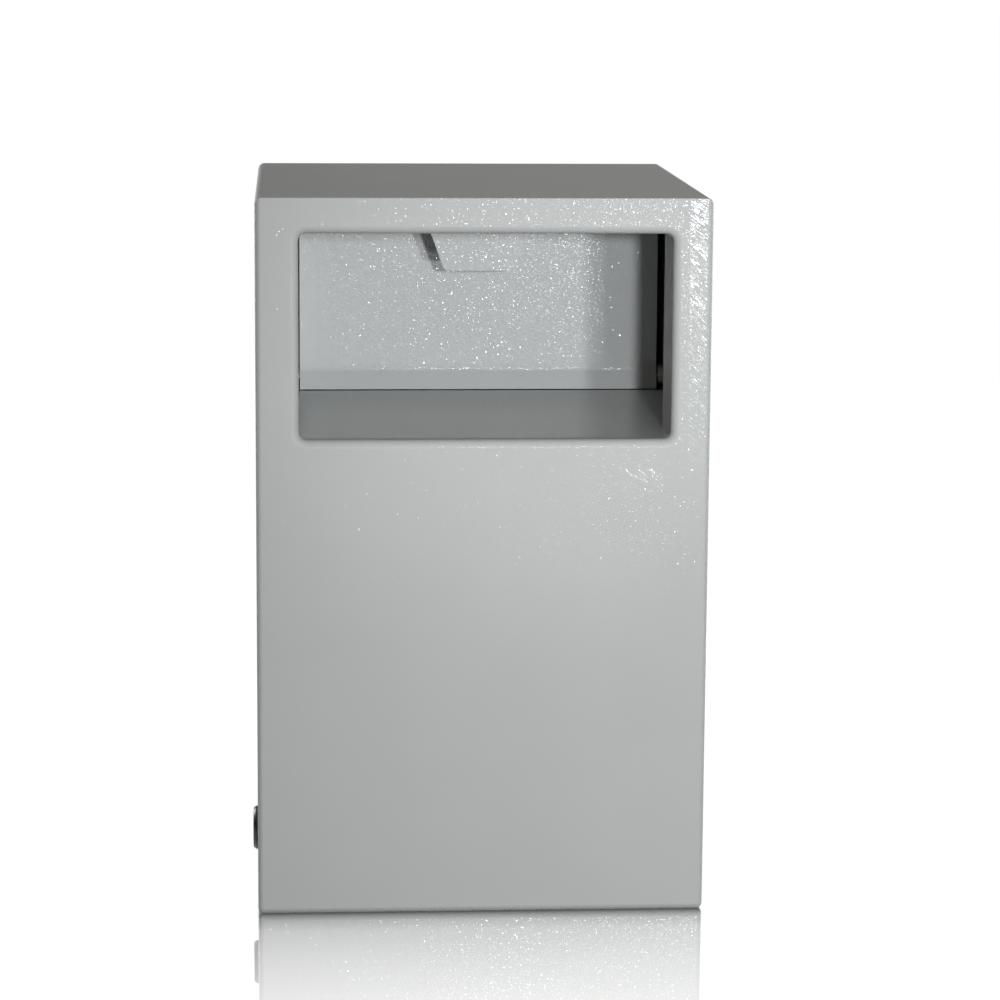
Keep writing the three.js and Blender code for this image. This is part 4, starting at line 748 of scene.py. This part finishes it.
class SAFE_OT_lever(bpy.types.Operator):
    """Cast the lever handle and turn the rose under it"""
    bl_idname = "safe.lever"
    bl_label = "Lever handle and rose"

    def execute(self, context):
        self.make_lever()
        self.make_rose()
        return {"FINISHED"}

    @staticmethod
    def make_lever():
        """A turned boss with a tapered arm that hangs from it."""
        low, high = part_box("handle_lever")
        spindle_low, spindle_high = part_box("handle_spindle")
        hub = (spindle_low + spindle_high) / 2
        boss = high.z - hub.z
        bm = bmesh.new()
        turned(bm, (hub.x, low.y, hub.z), (0, 1, 0), [
            (0, 0), (boss * 0.84, 0), (boss, 2 * MM), (boss, high.y - low.y - 3 * MM),
            (boss * 0.8, high.y - low.y - 0.4 * MM), (0, high.y - low.y)])
        half, depth, taper = 10 * MM, 12 * MM, 0.7
        arm_low = Vector((hub.x - half, high.y - depth, low.z))
        arm_high = Vector((hub.x + half, high.y - MM, hub.z))
        made_arm = bmesh.ops.create_cube(bm, size=1, matrix=corners_matrix(arm_low, arm_high))
        for vert in made_arm["verts"]:
            if vert.co.z < low.z + MM:
                vert.co.x = hub.x + (vert.co.x - hub.x) * taper
        edges = each_once(edge for vert in made_arm["verts"] for edge in vert.link_edges)
        bevel(bm, edges, 4.5 * MM, 6)
        finish_piece(
            bm, "lever_cast", material_for("bright_steel"), "lever",
            ["handle_lever"], smooth=ROUND)

    @staticmethod
    def make_rose():
        """A dished disc under the lever."""
        low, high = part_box("handle_rose")
        centre = (low + high) / 2
        radius = (high.x - low.x) / 2
        thickness = high.y - low.y
        bm = bmesh.new()
        turned(bm, (centre.x, low.y, centre.z), (0, 1, 0), [
            (0, 0), (radius, 0), (radius, thickness * 0.35), (radius * 0.93, thickness * 0.75),
            (radius * 0.8, thickness), (radius * 0.6, thickness * 0.86), (0, thickness * 0.86)])
        bevel(bm, edges_between(bm, TURNED), 0.4 * MM, 2)
        finish_piece(
            bm, "rose_turned", material_for("bright_steel"), "door",
            ["handle_rose"], smooth=ROUND)


class SAFE_OT_door(bpy.types.Operator):
    """Break the edges of the door, its hinges, its keyhole and the frame round it"""
    bl_idname = "safe.door"
    bl_label = "Door and frame"

    def execute(self, context):
        for node in ("door_plate", "rear_header", "door_sill", "jamb_hinge_side",
                     "jamb_bolt_side", "base_plate"):
            softened(node, 1.0 * MM)
        for node in ("frame_hinge_lower", "frame_hinge_upper", "door_hinge_lower",
                     "door_hinge_upper", "left_cheek", "flap_stop", "chute_deflector"):
            softened(node, 0.6 * MM)
        for node in ("key_escutcheon", "keyhole_cover"):
            softened(node, 0.35 * MM)
        return {"FINISHED"}


class SAFE_OT_boltwork(bpy.types.Operator):
    """Break the edges of the boltwork, the lock and their cover"""
    bl_idname = "safe.boltwork"
    bl_label = "Boltwork"

    def execute(self, context):
        for node in ("bolt_bar", "dog_bar", "bolt_guide", "tail_guide_lower",
                     "tail_guide_upper", "lock_case", "drill_plate", "boltwork_cover",
                     "bolt_cam", "lock_bolt"):
            softened(node, 0.4 * MM)
        return {"FINISHED"}


class SAFE_OT_small_parts(bpy.types.Operator):
    """Give each remaining CAD node the finish of its slot"""
    bl_idname = "safe.small_parts"
    bl_label = "Small parts"

    def execute(self, context):
        for name, node in frame["nodes"].items():
            if not node.hide_render:
                node.data.materials.clear()
                node.data.materials.append(material_for(slot_of(name)))
        return {"FINISHED"}


class SAFE_OT_stage(bpy.types.Operator):
    """Set the white studio: floor, background, lamps and camera"""
    bl_idname = "safe.stage"
    bl_label = "Studio"

    # The floor's values over the distance from the safe in metres
    mirror_stops = ((0, 0.97), (0.02, 0.92), (0.048, 0.72), (0.1, 0.62), (0.155, 0.52),
                    (0.205, 0.44), (0.45, 0.0))
    # The glow dims from 1.0 to 0.9 close to the safe: painted shade round its foot, under which
    # the real contact shadow also shows
    glow_with_painted_foot_shade_stops = ((0, 0.9), (0.05, 0.97), (0.12, 1.0), (1.0, 1.0))
    shade_stops = ((0, 0.2), (0.2, 0.16), (0.6, 0.08), (1.0, 0.06))
    # What blurred reflections see of the room, over the way's X and Z: (from, to), (low, high)
    room_right = ((-0.02, 0.04), (0.1, 0.35))
    room_above = ((0.5, 0.8), (0.0, 0.8))
    floor_reach = 30
    flash_tint = (0.985, 1.0, 1.02)
    flash_aim = (0.5, -0.2, 0.2)
    low_aim = (0.03, -0.1, 0.5)
    strip_aim = (0.19, -0.2, 0.4)
    overhead_aim = (0, -0.1, 0.4)
    rear_tint = (0.975, 1.0, 1.035)
    rear_aim = (0, 0.1, 0.3)
    camera_place = (-0.1625, -2.9325, 0.8309)
    camera_turn = (-3.69, -9.81, 0.39)  # yaw, pitch and roll in degrees
    sensor = 36

    def execute(self, context):
        stage = context.scene.safe_stage
        self.lay_floor()
        self.light_room(stage)
        self.paint_room(stage)
        self.place_camera(stage)
        return {"FINISHED"}

    @classmethod
    def lay_floor(cls):
        """One wide sheet under the safe."""
        bm = bmesh.new()
        bmesh.ops.create_grid(bm, x_segments=1, y_segments=1, size=cls.floor_reach)
        mesh = bpy.data.meshes.new("floor")
        bm.to_mesh(mesh)
        bm.free()
        floor = bpy.data.objects.new("floor", mesh)
        bpy.context.scene.collection.objects.link(floor)
        mesh.materials.append(cls.floor_material())

    @staticmethod
    def seen_ray(tree):
        """1 for rays from the camera and for mirrored and transmitted rays, else 0."""
        path = add_node(tree, "ShaderNodeLightPath").outputs
        either = value_of(tree, "MAXIMUM", path["Is Camera Ray"], path["Is Glossy Ray"])
        return value_of(tree, "MAXIMUM", either, path["Is Transmission Ray"])

    @staticmethod
    def beyond_safe(tree, place):
        """How far a point of the floor lies outside the safe's box, in metres."""
        apart = add_node(tree, "ShaderNodeSeparateXYZ", [("Vector", place)])
        reach = [
            value_of(tree, "SUBTRACT", value_of(tree, "ABSOLUTE", apart.outputs[axis]), half)
            for axis, half in (("X", cad_box[1].x), ("Y", -cad_box[0].y))]
        return value_of(tree, "MAXIMUM", *reach)

    @staticmethod
    def ramp(tree, source, stops):
        """A grey ramp over (distance, value) stops."""
        last = stops[-1][0]
        node = add_node(
            tree, "ShaderNodeValToRGB", [("Fac", value_of(tree, "DIVIDE", source, last))])
        elements = node.color_ramp.elements
        for place, value in stops[1:-1]:
            elements.new(place / last).color = (value, value, value, 1)
        for end in (0, -1):
            value = stops[end][1]
            elements[end].color = (value, value, value, 1)
        return node.outputs["Color"]

    @classmethod
    def floor_material(cls):
        """Polished white acrylic. It glows white where a ray sees it, so that it joins the
        background, keeps the safe's shadow, and bounces little light on to the safe. Its glow is
        dimmed close to the safe, which paints a little shade round the safe's foot. The camera
        also sees the safe's foot mirrored in it, and less of that further off."""
        material, tree, output, place = new_material("polished white acrylic sheet")
        far = cls.beyond_safe(tree, place)
        matte = add_node(
            tree, "ShaderNodeBsdfDiffuse", [("Color", cls.ramp(tree, far, cls.shade_stops))])
        glow = add_node(tree, "ShaderNodeEmission", [("Strength", value_of(
            tree, "MULTIPLY", cls.seen_ray(tree), cls.ramp(tree, far, cls.glow_with_painted_foot_shade_stops)))])
        lit = add_node(
            tree, "ShaderNodeAddShader", [(0, matte.outputs[0]), (1, glow.outputs[0])])
        gloss = add_node(tree, "ShaderNodeBsdfGlossy", roughness=0.0)
        gloss.inputs["Color"].default_value = to_linear("#ffffff")
        direct = add_node(tree, "ShaderNodeLightPath").outputs["Is Camera Ray"]
        share = value_of(tree, "MULTIPLY", cls.ramp(tree, far, cls.mirror_stops), direct)
        mixed = add_node(
            tree, "ShaderNodeMixShader",
            [("Fac", share), (1, lit.outputs[0]), (2, gloss.outputs[0])])
        tree.links.new(mixed.outputs[0], output.inputs["Surface"])
        return material

    @staticmethod
    def hang(name, kind, power, place, aim, **settings):
        """Hang a lamp at a place, turned towards a point."""
        lamp = bpy.data.lights.new(name, kind)
        lamp.energy = power
        for key, value in settings.items():
            setattr(lamp, key, value)
        holder = bpy.data.objects.new(name, lamp)
        holder.location = place
        way = Vector(aim) - holder.location
        holder.rotation_euler = way.to_track_quat("-Z", "Y").to_euler()
        bpy.context.scene.collection.objects.link(holder)

    @classmethod
    def light_room(cls, stage):
        """Two flashes and two small low lamps in front, whose mirror images the grains of the
        paint break into sparks, a strip at the right, a soft lamp above the customer, and
        wide lamps on the staff side."""
        for name, power, place in (
                ("flash_right", stage.right_lamp, (0.408, -1.984, 0.49)),
                ("flash_upper", stage.upper_lamp, (0.14, -1.98, 0.76))):
            cls.hang(name, "SPOT", power, place, cls.flash_aim, shadow_soft_size=0.045,
                     color=cls.flash_tint, spot_size=math.radians(90), spot_blend=1.0)
        for name, share, place in (
                ("low_lamp_right", 1.0, (0.337, -2.1, 0.285)),
                ("low_lamp_middle", 0.12, (-0.032, -2.0, 0.264))):
            cls.hang(name, "SPOT", stage.spark_lamp * share, place, cls.low_aim,
                     shadow_soft_size=0.03, spot_size=math.radians(18), spot_blend=1.0)
        cls.hang("side_strip", "AREA", stage.side_strip, (1.2, -1.3, 0.45), cls.strip_aim,
                 shape="RECTANGLE", size=0.08, size_y=0.5)
        cls.hang("overhead", "AREA", stage.overhead, (0.1, -1.8, 1.8), cls.overhead_aim,
                 size=0.8)
        for name, place in (("rear_left", (-2.1, 1.9, 1.0)), ("rear_right", (2.3, 1.7, 1.0))):
            cls.hang(name, "AREA", stage.rear_lamp, place, cls.rear_aim,
                     size=1.2, color=cls.rear_tint)

    @classmethod
    def paint_room(cls, stage):
        """The room round the safe. The camera and a sharp mirror see it white, a blurred
        reflection sees it dim but for its right and its ceiling, and diffuse light gets an
        even, warm fill."""
        world = bpy.data.worlds.new("white room")
        bpy.context.scene.world = world
        world.use_nodes = True
        tree = world.node_tree
        tree.nodes.clear()
        even = add_node(tree, "ShaderNodeBackground", strength=stage.fill)
        even.inputs["Color"].default_value = to_linear("#ffd0a0")
        way = add_node(tree, "ShaderNodeTexCoord").outputs["Generated"]
        apart = add_node(tree, "ShaderNodeSeparateXYZ", [("Vector", way)]).outputs
        path = add_node(tree, "ShaderNodeLightPath").outputs
        sharp = value_of(tree, "MAXIMUM", path["Is Camera Ray"], path["Is Singular Ray"])
        blurred = value_of(
            tree, "MAXIMUM", span(tree, apart["X"], *cls.room_right, curve="SMOOTHSTEP"),
            span(tree, apart["Z"], *cls.room_above, curve="SMOOTHSTEP"))
        wall = add_node(
            tree, "ShaderNodeBackground",
            [("Strength", value_of(tree, "MAXIMUM", blurred, sharp))])
        wall.inputs["Color"].default_value = to_linear("#ffffff")
        seen = add_node(
            tree, "ShaderNodeMixShader",
            [("Fac", cls.seen_ray(tree)), (1, even.outputs[0]), (2, wall.outputs[0])])
        output = add_node(tree, "ShaderNodeOutputWorld")
        tree.links.new(seen.outputs[0], output.inputs["Surface"])

    @classmethod
    def place_camera(cls, stage):
        """A long lens a little above the safe and to its left, level to half a degree."""
        yaw, pitch, roll = (math.radians(angle) for angle in cls.camera_turn)
        aim = Matrix.Rotation(yaw, 3, "Z") @ Matrix.Rotation(pitch, 3, "X")
        right, ahead, up = aim.col
        level = math.cos(roll) * right + math.sin(roll) * up
        rise = math.cos(roll) * up - math.sin(roll) * right
        camera = bpy.data.cameras.new("camera")
        camera.lens = stage.lens
        camera.sensor_width = cls.sensor
        camera.clip_end = 100
        holder = bpy.data.objects.new("camera", camera)
        turn = Matrix((level, rise, -ahead)).transposed()
        holder.matrix_world = Matrix.Translation(cls.camera_place) @ turn.to_4x4()
        bpy.context.scene.collection.objects.link(holder)
        bpy.context.scene.camera = holder
        bpy.context.scene.view_settings.view_transform = "Standard"


class SAFE_PT_panel(bpy.types.Panel):
    """The finish's settings and steps"""
    bl_idname = "SAFE_PT_panel"
    bl_label = "Deposit safe"
    bl_space_type = "VIEW_3D"
    bl_region_type = "UI"
    bl_category = "Safe"

    def draw(self, context):
        column = self.layout.column()
        for group in (context.scene.safe_paint, context.scene.safe_shell,
                      context.scene.safe_stage):
            for name in group.__annotations__:
                column.prop(group, name)
        for step in STEPS:
            column.operator(step.bl_idname)


STEPS = (SAFE_OT_body, SAFE_OT_shelf, SAFE_OT_flap, SAFE_OT_plug, SAFE_OT_lever,
         SAFE_OT_door, SAFE_OT_boltwork, SAFE_OT_small_parts, SAFE_OT_stage)
GROUPS = {"safe_paint": SafePaint, "safe_shell": SafeShell, "safe_stage": SafeStage}


def register():
    """Add the settings, the steps and the panel."""
    for item in (*GROUPS.values(), *STEPS, SAFE_PT_panel):
        bpy.utils.register_class(item)
    for name, group in GROUPS.items():
        setattr(bpy.types.Scene, name, bpy.props.PointerProperty(type=group))


def unregister():
    """Take them away again."""
    for name in GROUPS:
        delattr(bpy.types.Scene, name)
    for item in (SAFE_PT_panel, *STEPS, *GROUPS.values()):
        bpy.utils.unregister_class(item)


def main():
    """Take every step in order."""
    register()
    for step in STEPS:
        group, name = step.bl_idname.split(".")
        getattr(getattr(bpy.ops, group), name)()


if __name__ == "__main__":
    main()
